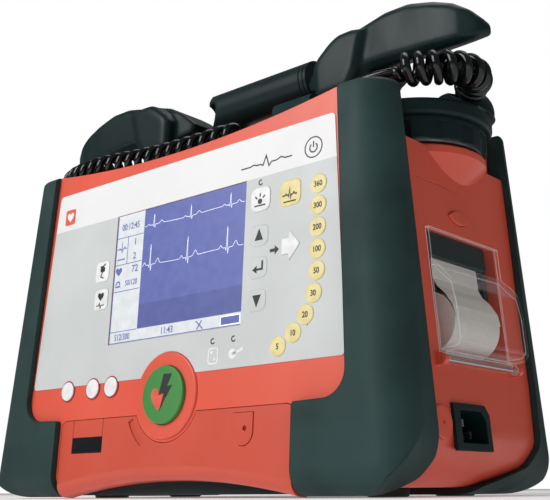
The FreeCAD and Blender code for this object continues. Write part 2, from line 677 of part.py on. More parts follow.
def case_screws():
    """The long screws that hold the two halves together."""
    screws = []
    for x, z in screw_places():
        y = back_y() - 1.8
        head = cylinder(3.6, (x, y, z), (x, y + 1.6, z)).cut(box(x - 3, x + 3, y + 0.9, y + 2, z - 0.5, z + 0.5))
        screws.append(fused(head, cylinder(1.9, (x, y - 22, z), (x, y + 0.1, z))))
    return screws


# ---------------------------------------------------------------- handle
def handle_tube():
    """The tube of the carrying handle: cut slanting at one end, with a ringed collar at the other."""
    ends = ((-HANDLE_RIGHT, HANDLE_Y, HANDLE_Z), (HANDLE_RIGHT, HANDLE_Y, HANDLE_Z))
    tube = cylinder(HANDLE_RADIUS, *ends)
    for x in (47.0, 50.5):
        groove = cylinder(HANDLE_RADIUS + 1, (x, HANDLE_Y, HANDLE_Z), (x + 0.8, HANDLE_Y, HANDLE_Z))
        groove = groove.cut(cylinder(HANDLE_RADIUS - 0.6, (x - 1, HANDLE_Y, HANDLE_Z), (x + 2, HANDLE_Y, HANDLE_Z)))
        tube = tube.cut(groove)
    tube = tube.cut(cylinder(HANDLE_BORE, (-90, HANDLE_Y, HANDLE_Z), (HANDLE_RIGHT - 4, HANDLE_Y, HANDLE_Z)))
    normal = Vector(-0.57, -0.82, 0)
    knife = Part.makeBox(80, 80, 80, Vector(-40, -40, 0))
    knife.Placement = Placement(Vector(HANDLE_LEFT, HANDLE_Y, HANDLE_Z), Rotation(Vector(0, 0, 1), normal))
    return tube.cut(knife)


def handle_legs():
    """The two legs that carry the tube, spreading to broad feet on the case."""
    legs = []
    for x in (-30.0, 30.0):
        wires = []
        for z, half_x, half_y in ((TOP_DIP - 1.0, 15.0, 22.0), (232.0, 9.0, 13.0), (HANDLE_Z, 8.0, 11.0)):
            wires.append(rounded_rectangle(x - half_x, x + half_x, HANDLE_Y + 4 - half_y,
                                           HANDLE_Y + 4 + half_y, z, 5.0))
        leg = Part.makeLoft(wires, True, True)
        leg = leg.cut(cylinder(HANDLE_RADIUS, (x - 30, HANDLE_Y, HANDLE_Z), (x + 30, HANDLE_Y, HANDLE_Z)))
        leg = leg.cut(box(x - 40, x + 40, -20, 60, HANDLE_Z - 2, HANDLE_Z + 20))
        leg = max(leg.Solids, key=lambda s: s.Volume)
        dip = cylinder(TOP_ARC, (0, -200, TOP_DIP + TOP_ARC), (0, 200, TOP_DIP + TOP_ARC))
        legs.append(leg.common(dip))
    return legs


# ---------------------------------------------------------------- paddles
def axis_cylinder(radius, z0, z1):
    """A cylinder about the right paddle's upright axis."""
    return cylinder(radius, (PADDLE_X, PADDLE_Y, z0), (PADDLE_X, PADDLE_Y, z1))


def paddle_base():
    """The paddle's round foot: a flange and a low dome, with a spigot for the electrodes."""
    flange = axis_cylinder(FLANGE_RADIUS, RING_TOP + 0.3, FLANGE_TOP)
    flange = rounded(flange, 2.5, lambda c, e: len(e.Vertexes) == 1)
    dome = Part.makeCone(FLANGE_RADIUS - 4, 24.0, DOME_TOP - FLANGE_TOP + 0.5,
                         Vector(PADDLE_X, PADDLE_Y, FLANGE_TOP - 0.5))
    spigot = axis_cylinder(20.0, RING_BOTTOM + 4, FLANGE_TOP - 1)
    return fused(flange, dome, spigot)


def child_plate():
    """The small electrode on the end of the spigot, which the large one covers."""
    plate = axis_cylinder(20.0, RING_BOTTOM + 2.0, RING_BOTTOM + 4)
    return rounded(plate, 0.8, lambda c, e: abs(c.z - RING_BOTTOM - 2.0) < 0.1 and len(e.Vertexes) == 1)


def adult_ring():
    """The ring of the clip-on adult electrode, its side cut into broad lobes."""
    ring = axis_cylinder(RING_RADIUS, RING_BOTTOM + 1.3, RING_TOP)
    for i in range(ELECTRODE_LOBES):
        angle = 2 * math.pi * (i + 0.5) / ELECTRODE_LOBES
        x = PADDLE_X + (RING_RADIUS + 13.0) * math.cos(angle)
        y = PADDLE_Y + (RING_RADIUS + 13.0) * math.sin(angle)
        ring = ring.cut(cylinder(15.0, (x, y, RING_BOTTOM), (x, y, RING_TOP - 2.5)))
    return ring.cut(axis_cylinder(20.4, RING_BOTTOM + 1.0, RING_TOP + 1))


def adult_plate():
    """The adult electrode's metal face."""
    return axis_cylinder(RING_RADIUS - 3.0, RING_BOTTOM, RING_BOTTOM + 1.3)


def paddle_grip():
    """The wing grip on its column, cut off slantwise at its tip, with a shield in front of the column."""
    top = [(54.0, 270.0), (63.0, 279.0), (76.0, 287.0), (90.0, 291.0), (104.0, 294.0),
           (122.0, 298.0), (140.0, 298.0), (157.0, 293.5), (170.0, 288.0), (181.0, 280.0)]
    under = [(189.0, 270.5), (189.5, 266.5), (184.0, 262.5), (168.0, 260.5), (145.0, 260.5),
             (124.0, 262.0), (110.0, 262.0), (104.0, 254.0), (103.0, 228.0), (79.0, 228.0),
             (77.0, 252.0), (70.0, 259.0), (56.0, 264.0)]
    sections = []
    for y, margin in ((-9.5, 5.0), (-4.5, 0.0), (31.0, 0.0), (36.0, 4.5)):
        points = [Vector(x, y, z) for x, z in inset(top + under, margin)]
        sections.append(Part.makePolygon(points + points[:1]))
    side = Part.makeLoft(sections, True, True)
    plan = [(50.0, 2.0), (66.0, -4.0), (92.0, -9.5), (150.0, -9.5), (174.0, -8.0), (186.0, -3.0),
            (190.0, 4.0), (186.0, 12.0), (174.0, 22.5), (160.0, 31.0), (142.0, 36.0), (92.0, 36.0),
            (66.0, 31.0), (50.0, 24.0)]
    wing = side.common(prism([(x, y, 200) for x, y in plan], (0, 0, 150)))
    heel = prism([(GRIP_HEEL, 2.0, 262.0), (GRIP_HEEL, 40.0, 281.0), (GRIP_HEEL, 40.0, 250.0),
                  (GRIP_HEEL, -4.0, 250.0), (GRIP_HEEL, -4.0, 260.0)], (100, 0, 0))
    shield = [(110.5, 288.5), (104.0, 262.0), (97.0, 250.0), (70.0, 250.0), (68.3, 273.0), (72.0, 279.0),
              (82.0, 287.0), (89.0, 290.5), (100.0, 291.0)]
    outlines = []
    for y, margin in ((SHIELD_FRONT, 4.0), (SHIELD_FRONT + 3.0, 0.0), (-4.0, 0.0)):
        points = [Vector(x, y, z) for x, z in inset(shield, margin)]
        outlines.append(Part.makePolygon(points + points[:1]))
    return fused(wing.cut(heel), Part.makeLoft(outlines, True, True))


def inset(outline, margin):
    """A clockwise outline with every corner moved inwards along its bisector."""
    moved = []
    for i, (x, z) in enumerate(outline):
        before = outline[i - 1]
        after = outline[(i + 1) % len(outline)]
        first = math.atan2(z - before[1], x - before[0])
        last = math.atan2(after[1] - z, after[0] - x)
        turn = math.remainder(last - first, 2 * math.pi)
        inward = first + turn / 2 - math.pi / 2
        reach = margin / math.cos(turn / 2)
        moved.append((x + reach * math.cos(inward), z + reach * math.sin(inward)))
    return moved


def paddle_button(margin=0.0, z0=CAP_LOW, z1=CAP_HIGH):
    """The discharge button in the top of the grip: an oval cap."""
    x, y = BUTTON_PLACE
    half = 6.0 + margin
    cap = fused(cylinder(half, (x - 5, y, z0), (x - 5, y, z1)), cylinder(half, (x + 5, y, z0), (x + 5, y, z1)),
                box(x - 5, x + 5, y - half, y + half, z0, z1))
    return cap


def cord_gland(cord):
    """The knob at the back of the paddle's foot, with a sloping skirt, where its cord comes out."""
    body = Part.makeSphere(GLAND_RADIUS, Vector(*GLAND_CENTRE))
    skirt = Part.makeCone(23.0, 12.0, 16.0, Vector(150.0, 30.0, 226.0))
    neck = cylinder(6.0, GLAND_CENTRE, RIGHT_CORD[0])
    lump = fused(body, skirt, neck)
    return lump.common(box(100, 200, -50, 54, 218, 260)).cut(cord)


# ---------------------------------------------------------------- cords
RIGHT_CORD = [(155.5, 26.5, 243.5), (167.5, 20.5, 243.0), (176.5, 8.5, 242.5), (177.5, -6.0, 242.0),
              (169.0, -19.5, 241.5), (153.0, -27.5, 242.0), (136.5, -33.5, 242.0), (121.0, -36.5, 240.0),
              (106.0, -34.5, 238.4), (91.5, -33.5, 238.0)]
LEFT_CORD = [(-155.5, 26.5, 243.5), (-168.0, 20.5, 244.0), (-178.0, 8.0, 243.5), (-179.0, -7.0, 243.0),
             (-169.5, -20.0, 242.0), (-153.0, -28.0, 241.0), (-132.0, -33.5, 239.5), (-107.0, -35.5, 238.2),
             (-78.0, -35.0, 235.0), (-46.0, -35.0, 232.2), (-14.0, -35.5, 231.0), (14.0, -35.0, 231.2),
             (38.0, -33.5, 232.4), (58.0, -32.5, 233.4)]


def cord_port():
    """The block on top of the case where both cords go in, one from each side."""
    block = box(60.0, 90.0, -43.0, -17.0, 219.0, 241.6)
    block = rounded(block, 6.0, lambda c, e: c.z > 230 and abs(c.x - 75) < 1)
    dip = cylinder(TOP_ARC, (0, -200, TOP_DIP + TOP_ARC), (0, 200, TOP_DIP + TOP_ARC))
    flange = cylinder(FLANGE_RADIUS + 1.5, (PADDLE_X, PADDLE_Y, 200), (PADDLE_X, PADDLE_Y, 260))
    return block.common(dip).cut(flange)


def cord_tube(name, route, radius):
    """A tube along straight runs joined by tangent arcs, each as large as its runs allow."""
    points = [Vector(*p) for p in route]
    edges = []
    start = points[0]
    radii = []
    for i in range(1, len(points) - 1):
        before = points[i] - points[i - 1]
        after = points[i + 1] - points[i]
        turn = before.getAngle(after)
        cut = 0.45 * min(before.Length, after.Length)
        radii.append(cut / math.tan(turn / 2))
        a = points[i] - before.normalize() * cut
        b = points[i] + after.normalize() * cut
        inward = (a + b) * 0.5 - points[i]
        middle = points[i] + inward.normalize() * (radii[-1] / math.cos(turn / 2) - radii[-1])
        edges.append(Part.LineSegment(start, a).toShape())
        edges.append(Part.Arc(a, middle, b).toShape())
        start = b
    edges.append(Part.LineSegment(start, points[-1]).toShape())
    path = Part.Wire(edges)
    direction = points[1] - points[0]
    section = Part.Wire(Part.Circle(points[0], direction, radius).toShape())
    tube = path.makePipeShell([section], True, False)
    solid = Part.Solid(tube.Shells[0])
    expected = math.pi * radius ** 2 * path.Length
    print(f"{name}: length {path.Length:.0f}, radii", [round(r) for r in radii],
          f"volume ratio {solid.Volume / expected:.3f}")
    return solid


# ---------------------------------------------------------------- build all
def build():
    front, rear, pads = build_case()
    export("front_housing", front)
    export("rear_housing", rear)
    for name, pad in pads.items():
        export(name, pad)
    export("base_tray", base_tray())
    export("rubber_feet", *[foot(x, y) for x in (-FOOT_X, FOOT_X) for y in FOOT_Y])

    export("keypad_foil", keypad_foil())
    half = LCD_WIDTH / 2 - 0.1
    export("lcd_window", front_plate(half, LCD_Z - LCD_HEIGHT / 2 + 0.1, LCD_Z + LCD_HEIGHT / 2 - 0.1, 0.4, 2.4))
    export("lcd_module", lcd_module())
    export("display_board", front_plate(112.0, 86.0, 192.0, 14.0, 15.6))
    export("shock_button", shock_button())
    dome = return_dome(9.0, 5.0, 1.2, 7.5, (0, 13.3, BUTTON_Z), (0, -1, 0))
    export("shock_button_dome", on_front(dome))

    export("module_fascia", module_fascia())
    export("battery_pack", battery_pack())
    export("status_window", on_front(box(-87.5, -57.3, 0.3, 2.2, 28.4, 38.4)))
    export("release_tab", release_tab())

    export("printer_bay", printer_bay())
    export("print_mechanism", print_mechanism())
    export("platen_roller", platen_roller())
    export("paper_roll", paper_roll())
    export("paper_strip", paper_strip())
    export("printer_door", printer_door())
    export("door_hinge_pin", door_hinge_pin())
    export("door_catch", door_catch())
    export("mains_inlet", mains_inlet())
    export("inlet_pins", *inlet_pins())
    export("side_cap", side_cap())
    export("lead_sockets", *lead_sockets())

    for name, solids in internals().items():
        export(name, *solids)
    export("case_screws", *case_screws())
    export("handle_tube", handle_tube())
    export("handle_legs", *handle_legs())
    export("cord_port", cord_port())

    contact = axis_cylinder(30.0, CUP_FLOOR, CUP_FLOOR + 1.5)
    export("test_contacts", contact, mirrored(contact))
    dome = return_dome(4.5, 2.5, 0.8, 4.0, (*BUTTON_PLACE, 290.6), (0, 0, 1))
    base = paddle_base()
    grip = paddle_grip().cut(paddle_button(0.3, 290.0, 310.0)).cut(base)
    cords = {"right": cord_tube("right cord", RIGHT_CORD, COIL_RADIUS),
             "left": cord_tube("left cord", LEFT_CORD, COIL_RADIUS)}
    pieces = {
        "base": base,
        "child_plate": child_plate(),
        "adult_ring": adult_ring(),
        "adult_plate": adult_plate(),
        "grip": grip,
        "button": paddle_button(),
        "button_dome": dome,
    }
    for side, place in (("right", lambda s: s), ("left", mirrored)):
        for name, solid in pieces.items():
            export("paddle_" + side + "_" + name, place(solid))
        export("paddle_" + side + "_gland", place(cord_gland(place(cords[side])).cut(base)))
        export("paddle_" + side + "_cord", cords[side])


build()
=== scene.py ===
import json
import math

import bmesh
import bpy
from mathutils import Matrix, Vector


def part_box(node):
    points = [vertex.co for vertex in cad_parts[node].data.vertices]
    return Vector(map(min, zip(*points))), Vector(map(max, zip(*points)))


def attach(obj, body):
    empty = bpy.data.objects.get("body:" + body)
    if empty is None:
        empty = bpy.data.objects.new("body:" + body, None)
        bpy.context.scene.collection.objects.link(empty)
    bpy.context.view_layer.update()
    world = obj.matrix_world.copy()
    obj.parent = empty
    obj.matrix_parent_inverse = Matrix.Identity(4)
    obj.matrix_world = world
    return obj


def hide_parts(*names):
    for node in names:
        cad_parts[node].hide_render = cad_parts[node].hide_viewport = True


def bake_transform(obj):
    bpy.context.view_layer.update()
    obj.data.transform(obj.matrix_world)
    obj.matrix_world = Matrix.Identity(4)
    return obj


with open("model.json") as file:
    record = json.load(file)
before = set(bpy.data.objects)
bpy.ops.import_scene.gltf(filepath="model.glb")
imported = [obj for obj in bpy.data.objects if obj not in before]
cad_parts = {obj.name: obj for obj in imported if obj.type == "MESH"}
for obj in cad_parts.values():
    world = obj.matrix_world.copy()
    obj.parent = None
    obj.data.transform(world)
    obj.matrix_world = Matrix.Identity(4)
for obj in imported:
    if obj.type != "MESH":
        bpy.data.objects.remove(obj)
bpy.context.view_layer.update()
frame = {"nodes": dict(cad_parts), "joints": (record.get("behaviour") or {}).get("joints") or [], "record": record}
NODES = frame["nodes"]
SLOT_OF = {part["node"]: part["material_slot"] for part in frame["record"]["subparts"]}
MM = 0.001
WHITE = (1.0, 1.0, 1.0, 1.0)

# ---------------------------------------------------------------- camera
CAMERA_TARGET = Vector((0.0906, -0.0770, 0.1349))
CAMERA_DISTANCE = 0.5483
CAMERA_AZIMUTH = math.radians(40.73)
CAMERA_ELEVATION = math.radians(-13.81)
CAMERA_ROLL = -0.0084
CAMERA_LENS = 64.07
SENSOR_WIDTH = 36.0


def make_camera():
    """The camera, low down on the right and looking up a little, as from beside a bench."""
    data = bpy.data.cameras.new("camera")
    data.lens = CAMERA_LENS
    data.sensor_width = SENSOR_WIDTH
    data.clip_start = 0.01
    camera = bpy.data.objects.new("camera", data)
    bpy.context.scene.collection.objects.link(camera)
    flat = math.cos(CAMERA_ELEVATION)
    back = Vector((math.sin(CAMERA_AZIMUTH) * flat, -math.cos(CAMERA_AZIMUTH) * flat,
                   math.sin(CAMERA_ELEVATION)))
    turn = back.to_track_quat("Z", "Y").to_matrix().to_4x4()
    camera.matrix_world = (Matrix.Translation(CAMERA_TARGET + back * CAMERA_DISTANCE)
                           @ turn @ Matrix.Rotation(CAMERA_ROLL, 4, "Z"))
    bpy.context.scene.camera = camera


# ---------------------------------------------------------------- materials
RED = (0.80, 0.112, 0.064)
RUBBER = (0.026, 0.056, 0.053)
BLACK = (0.006, 0.019, 0.0195)
GRIP_BLACK = (0.0125, 0.036, 0.038)
FOIL_GREY = (0.635, 0.663, 0.655)
FOIL_WHITE = (0.88, 0.88, 0.88)
LCD_BLUE = (0.088, 0.106, 0.300)
LCD_LIGHT = (0.55, 0.575, 0.595)
INK = (0.020, 0.022, 0.026)
HEART_RED = (0.80, 0.12, 0.07)
FLOOR_WHITE = (0.95, 0.95, 0.95)
# Emission strength of the painted highlight on clear rims.
RIM_PAINTED_HIGHLIGHT = 0.35
FLOOR_GLOW = 0.22
WORLD_GLOW = 0.13


def shader(name, colour, roughness, **sockets):
    """A material with one Principled shader, its tree, and the shader node."""
    material = bpy.data.materials.new(name)
    material.use_nodes = True
    tree = material.node_tree
    principled = tree.nodes["Principled BSDF"]
    principled.inputs["Base Color"].default_value = (*colour, 1.0)
    principled.inputs["Roughness"].default_value = roughness
    for socket, value in sockets.items():
        principled.inputs[socket.replace("_", " ")].default_value = value
    return material, tree, principled


def add_node(tree, kind, **settings):
    """A node whose settings are attributes, or inputs when they start with a capital letter."""
    node = tree.nodes.new(kind)
    for key, value in settings.items():
        if key[0].isupper():
            node.inputs[key.replace("_", " ")].default_value = value
        else:
            setattr(node, key, value)
    return node


def noise(tree, size, detail=3.0, stretch=(1.0, 1.0, 1.0)):
    """Noise whose features are about size metres across, in the object's own coordinates."""
    place = add_node(tree, "ShaderNodeTexCoord")
    scaled = add_node(tree, "ShaderNodeMapping")
    scaled.inputs["Scale"].default_value = stretch
    tree.links.new(place.outputs["Object"], scaled.inputs["Vector"])
    texture = add_node(tree, "ShaderNodeTexNoise", Scale=1.0 / size, Detail=detail)
    tree.links.new(scaled.outputs["Vector"], texture.inputs["Vector"])
    return texture.outputs["Fac"]


def ramped(tree, value, low, high, start=0.35, stop=0.65):
    """A value mapped from start..stop to low..high."""
    mapped = add_node(tree, "ShaderNodeMapRange")
    mapped.inputs["From Min"].default_value = start
    mapped.inputs["From Max"].default_value = stop
    mapped.inputs["To Min"].default_value = low
    mapped.inputs["To Max"].default_value = high
    tree.links.new(value, mapped.inputs["Value"])
    return mapped.outputs["Result"]


def mixed(tree, factor, first, second):
    """Two colours mixed by a factor; each colour is a tuple or another node's output."""
    mix = add_node(tree, "ShaderNodeMix", data_type="RGBA")
    tree.links.new(factor, mix.inputs["Factor"])
    for socket, colour in (("A", first), ("B", second)):
        sockets = [s for s in mix.inputs if s.name == socket and s.type == "RGBA"]
        if isinstance(colour, tuple):
            sockets[0].default_value = (*colour, 1.0)
        else:
            tree.links.new(colour, sockets[0])
    return [s for s in mix.outputs if s.type == "RGBA"][0]


def scaled_colour(colour, factor):
    """A lighter or darker colour."""
    return tuple(min(1.0, c * factor) for c in colour)


def edge_mask(tree, radius):
    """Close to 1 within about radius of a sharp edge, and 0 elsewhere."""
    soft = add_node(tree, "ShaderNodeBevel", samples=4)
    soft.inputs["Radius"].default_value = radius
    plain = add_node(tree, "ShaderNodeNewGeometry")
    dot = add_node(tree, "ShaderNodeVectorMath", operation="DOT_PRODUCT")
    tree.links.new(soft.outputs["Normal"], dot.inputs[0])
    tree.links.new(plain.outputs["Normal"], dot.inputs[1])
    return ramped(tree, dot.outputs["Value"], 1.0, 0.0, start=0.80, stop=0.985)


def moulded(name, colour, roughness, mottle=0.08, grain=0.0006, bump=0.12, edge=0.0008,
            edge_light=1.25, rounding=0.0006, **sockets):
    """Moulded plastic or rubber: uneven colour, a fine grain, edges painted lighter as highlights where edge_light
    is above 1 and darker as shade where it is below 1, and patchy gloss.
    """
    material, tree, principled = shader(name, colour, roughness, **sockets)
    patches = noise(tree, 0.055, 4.0)
    tone = mixed(tree, ramped(tree, patches, 0.0, 1.0), scaled_colour(colour, 1 - mottle),
                 scaled_colour(colour, 1 + mottle))
    # Painted highlight: colour near sharp edges is scaled by edge_light, lighter above 1 and darker, as painted
    # shade, below 1.
    if edge:
        painted_edge_light = edge_mask(tree, edge)
        tone = mixed(tree, painted_edge_light, tone, scaled_colour(colour, edge_light))
    tree.links.new(tone, principled.inputs["Base Color"])
    smears = noise(tree, 0.021, 5.0, (1.0, 1.0, 0.35))
    tree.links.new(ramped(tree, smears, roughness * 0.86, min(1.0, roughness * 1.16)),
                   principled.inputs["Roughness"])
    relief = add_node(tree, "ShaderNodeBump", Strength=bump, Distance=grain * 0.5)
    tree.links.new(noise(tree, grain, 2.0), relief.inputs["Height"])
    if rounding:
        soft = add_node(tree, "ShaderNodeBevel", samples=4)
        soft.inputs["Radius"].default_value = rounding
        tree.links.new(soft.outputs["Normal"], relief.inputs["Normal"])
    tree.links.new(relief.outputs["Normal"], principled.inputs["Normal"])
    return material


def metal(name, colour, roughness, stretch):
    """Rolled or turned metal with fine lines along one direction."""
    material, tree, principled = shader(name, colour, roughness, Metallic=1.0)
    lines = noise(tree, 0.0012, 3.0, stretch)
    tree.links.new(ramped(tree, lines, roughness * 0.7, roughness * 1.4), principled.inputs["Roughness"])
    tone = mixed(tree, lines, scaled_colour(colour, 0.85), scaled_colour(colour, 1.1))
    tree.links.new(tone, principled.inputs["Base Color"])
    relief = add_node(tree, "ShaderNodeBump", Strength=0.1, Distance=0.0001)
    tree.links.new(lines, relief.inputs["Height"])
    tree.links.new(relief.outputs["Normal"], principled.inputs["Normal"])
    return material


def clear(name, colour, face_on, edge_on, roughness, rim=0.0):
    """Clear plastic: faint when seen square on, denser at glancing angles, with painted highlights on the rims:
    pale, denser edges that glow faintly.
    """
    material, tree, principled = shader(name, colour, roughness)
    principled.inputs["IOR"].default_value = 1.5
    glance = add_node(tree, "ShaderNodeLayerWeight")
    glance.inputs["Blend"].default_value = 0.35
    dense = ramped(tree, glance.outputs["Facing"], face_on, edge_on, 0.5, 0.98)
    # Painted highlight: near edges the clear gets denser and a faint emission, so its rims read as bright lines.
    if rim:
        edges = edge_mask(tree, rim)
        highest = add_node(tree, "ShaderNodeMath", operation="MAXIMUM")
        tree.links.new(dense, highest.inputs[0])
        tree.links.new(ramped(tree, edges, 0.0, 0.6, 0.0, 1.0), highest.inputs[1])
        dense = highest.outputs["Value"]
        principled.inputs["Emission Color"].default_value = (*colour, 1.0)
        painted_rim_highlight = ramped(tree, edges, 0.0, RIM_PAINTED_HIGHLIGHT, 0.4, 1.0)
        tree.links.new(painted_rim_highlight, principled.inputs["Emission Strength"])
    tree.links.new(dense, principled.inputs["Alpha"])
    smears = noise(tree, 0.018, 4.0)
    tree.links.new(ramped(tree, smears, roughness, roughness + 0.05), principled.inputs["Roughness"])
    return material


def printed(name, colour, roughness=0.4, glow=0.0):
    """Ink or a small moulded inlay, slightly uneven."""
    material, tree, principled = shader(name, colour, roughness)
    patches = noise(tree, 0.006, 3.0)
    tone = mixed(tree, ramped(tree, patches, 0.0, 1.0), scaled_colour(colour, 0.93),
                 scaled_colour(colour, 1.07))
    tree.links.new(tone, principled.inputs["Base Color"])
    gloss = ramped(tree, patches, roughness * 0.9, roughness * 1.1)
    tree.links.new(gloss, principled.inputs["Roughness"])
    if glow:
        principled.inputs["Emission Color"].default_value = (*colour, 1.0)
        principled.inputs["Emission Strength"].default_value = glow
    return material


def foil_material(white_from):
    """The key membrane: a white band along its top and grey below, with a fine texture."""
    material, tree, principled = shader("key_foil", FOIL_GREY, 0.42)
    place = add_node(tree, "ShaderNodeTexCoord")
    split = add_node(tree, "ShaderNodeSeparateXYZ")
    tree.links.new(place.outputs["Object"], split.inputs["Vector"])
    band = ramped(tree, split.outputs["Z"], 0.0, 1.0, white_from - 0.0001, white_from + 0.0001)
    clouds = ramped(tree, noise(tree, 0.06, 3.0), 0.0, 1.0)
    grey = mixed(tree, clouds, scaled_colour(FOIL_GREY, 0.96), scaled_colour(FOIL_GREY, 1.04))
    white = mixed(tree, clouds, scaled_colour(FOIL_WHITE, 0.98), scaled_colour(FOIL_WHITE, 1.02))
    tree.links.new(mixed(tree, band, grey, white), principled.inputs["Base Color"])
    tree.links.new(ramped(tree, noise(tree, 0.02, 4.0), 0.36, 0.5), principled.inputs["Roughness"])
    relief = add_node(tree, "ShaderNodeBump", Strength=0.08, Distance=0.0001)
    tree.links.new(noise(tree, 0.0005, 2.0), relief.inputs["Height"])
    tree.links.new(relief.outputs["Normal"], principled.inputs["Normal"])
    return material


def paper_material():
    """Thermal paper: faint fibres, and fine winding lines on the roll's ends."""
    colour = (0.80, 0.77, 0.72)
    material, tree, principled = shader("thermal_paper", colour, 0.75)
    fibres = noise(tree, 0.0025, 6.0)
    tone = mixed(tree, ramped(tree, fibres, 0.0, 1.0), scaled_colour(colour, 0.93), colour)
    tree.links.new(tone, principled.inputs["Base Color"])
    windings = noise(tree, 0.004, 2.0, (18.0, 0.2, 18.0))
    relief = add_node(tree, "ShaderNodeBump", Strength=0.25, Distance=0.0002)
    tree.links.new(windings, relief.inputs["Height"])
    tree.links.new(relief.outputs["Normal"], principled.inputs["Normal"])
    return material


def board_material():
    """A circuit board: green solder mask over a pattern of tracks."""
    colour = (0.02, 0.16, 0.07)
    material, tree, principled = shader("circuit_board", colour, 0.35)
    place = add_node(tree, "ShaderNodeTexCoord")
    tracks = add_node(tree, "ShaderNodeTexVoronoi", Scale=220.0, distance="CHEBYCHEV")
    tree.links.new(place.outputs["Object"], tracks.inputs["Vector"])
    lit = ramped(tree, tracks.outputs["Distance"], 1.0, 0.0, 0.30, 0.42)
    tone = mixed(tree, lit, scaled_colour(colour, 0.7), scaled_colour(colour, 1.9))
    tree.links.new(tone, principled.inputs["Base Color"])
    tree.links.new(ramped(tree, lit, 0.30, 0.45, 0.0, 1.0), principled.inputs["Roughness"])
    return material


def winding_material():
    """Enamelled copper wire wound round a core."""
    colour = (0.55, 0.20, 0.08)
    material, tree, principled = shader("copper_winding", colour, 0.3, Metallic=1.0)
    place = add_node(tree, "ShaderNodeTexCoord")
    wires = add_node(tree, "ShaderNodeTexWave", Scale=260.0, Distortion=0.6, bands_direction="Z")
    tree.links.new(place.outputs["Object"], wires.inputs["Vector"])
    tone = mixed(tree, wires.outputs["Fac"], scaled_colour(colour, 0.6), scaled_colour(colour, 1.2))
    tree.links.new(tone, principled.inputs["Base Color"])
    relief = add_node(tree, "ShaderNodeBump", Strength=0.6, Distance=0.0004)
    tree.links.new(wires.outputs["Fac"], relief.inputs["Height"])
    tree.links.new(relief.outputs["Normal"], principled.inputs["Normal"])
    return material


def make_materials():
    """Every material, by the name that the pieces use."""
    return {
        # Most of these materials take lighter edges, a painted highlight along their corners.
        "case_red": moulded("case_red", RED, 0.34, mottle=0.03, bump=0.05, edge_light=1.2),
        # The fascia's red is the case's red made darker, a painted shade.
        "fascia_red_painted_shade": moulded("fascia_red_painted_shade", scaled_colour(RED, 0.82), 0.34, mottle=0.03, bump=0.05,
                              edge_light=1.2),
        # The bumper's edge_light of 0.55 paints shade along its edges.
        "bumper_rubber": moulded("bumper_rubber", RUBBER, 0.55, mottle=0.20, grain=0.0009, bump=0.25,
                                 edge=0.0016, edge_light=0.55, rounding=0.0018, Specular_IOR_Level=0.16),
        "black_plastic": moulded("black_plastic", BLACK, 0.40, mottle=0.12, bump=0.15,
                                 edge=0.0009, edge_light=2.0, Specular_IOR_Level=0.22),
        "grip_plastic": moulded("grip_plastic", GRIP_BLACK, 0.58, mottle=0.12, grain=0.0008,
                                bump=0.22, edge=0.0, rounding=0.0, Specular_IOR_Level=0.09),
        "gloss_black": moulded("gloss_black", (0.008, 0.009, 0.011), 0.12, bump=0.02),
        "foil": foil_material(PANEL_WHITE_FROM),
        "clear": clear("clear_window", (0.92, 0.94, 0.96), 0.04, 0.35, 0.05),
        # rim paints highlights along the door's edges.
        "door_clear": clear("clear_door", (0.88, 0.90, 0.91), 0.012, 0.40, 0.05, rim=0.0012),
        "screen": printed("screen_glass", LCD_BLUE, 0.3),
        "green_button": moulded("green_button", (0.060, 0.27, 0.060), 0.36, mottle=0.05, bump=0.05),
        "board_green": board_material(),
        "steel": metal("steel", (0.56, 0.56, 0.57), 0.3, (1.0, 12.0, 1.0)),
        "aluminium": metal("aluminium", (0.68, 0.68, 0.70), 0.38, (1.0, 8.0, 1.0)),
        "paper": paper_material(),
        "copper": winding_material(),
        "roller_rubber": moulded("roller_rubber", (0.05, 0.05, 0.052), 0.7, mottle=0.1),
        "cord_black": moulded("cord_sheath", (0.004, 0.006, 0.007), 0.13, mottle=0.1, bump=0.04,
                              edge=0.0, rounding=0.0),
        "orange_button": moulded("orange_button", (0.70, 0.16, 0.02), 0.36, mottle=0.05),
    }


# ---------------------------------------------------------------- places on the object
def front_plane():
    """Millimetres across, up and out, from the middle of the key membrane's lower edge."""
    press = Vector(next(j["axis"] for j in frame["joints"] if j["name"] == "shock_press"))
    out = -press
    across = Vector((1.0, 0.0, 0.0))
    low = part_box("keypad_foil")[0]
    origin = Vector((0.0, low.y, low.z))
    return plane(origin, across, out.cross(across), out)


def plane(origin, across, up, out):
    """A frame in millimetres at a point, whose third direction points out of the object."""
    axes = Matrix((across, up, out)).transposed().to_4x4()
    return Matrix.Translation(origin) @ axes @ Matrix.Scale(MM, 4)


PANEL_WHITE_HEIGHT = 112.8
FRONT = front_plane()
PANEL_WHITE_FROM = (FRONT @ Vector((0.0, PANEL_WHITE_HEIGHT, 0.0))).z
materials = make_materials()


# ---------------------------------------------------------------- making pieces
def piece(name, mesh, material, body, smooth=False):
    """A mesh as a piece that moves with a body."""
    made = bpy.data.objects.new(name, mesh)
    bpy.context.scene.collection.objects.link(made)
    made.data.materials.append(materials[material])
    if smooth:
        made.data.shade_smooth()
    if body:
        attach(made, body)
    return made


def mesh_from(name, build):
    """A mesh that build fills in."""
    shape = bmesh.new()
    build(shape)
    bmesh.ops.recalc_face_normals(shape, faces=shape.faces)
    mesh = bpy.data.meshes.new(name)
    shape.to_mesh(mesh)
    shape.free()
    return mesh


def evaluated(made):
    """What an object's modifiers or curve give, as a new mesh."""
    bpy.context.view_layer.update()
    found = made.evaluated_get(bpy.context.evaluated_depsgraph_get())
    return bpy.data.meshes.new_from_object(found)


def prism(shape, place, outline, low, high):
    """A flat piece with straight sides, from low to high above a plane."""
    rings = []
    for level in (low, high):
        rings.append([shape.verts.new(place @ Vector((x, y, level))) for x, y in outline])
    shape.faces.new(rings[0][::-1])
    shape.faces.new(rings[1])
    count = len(outline)
    for i in range(count):
        j = (i + 1) % count
        shape.faces.new((rings[0][i], rings[0][j], rings[1][j], rings[1][i]))


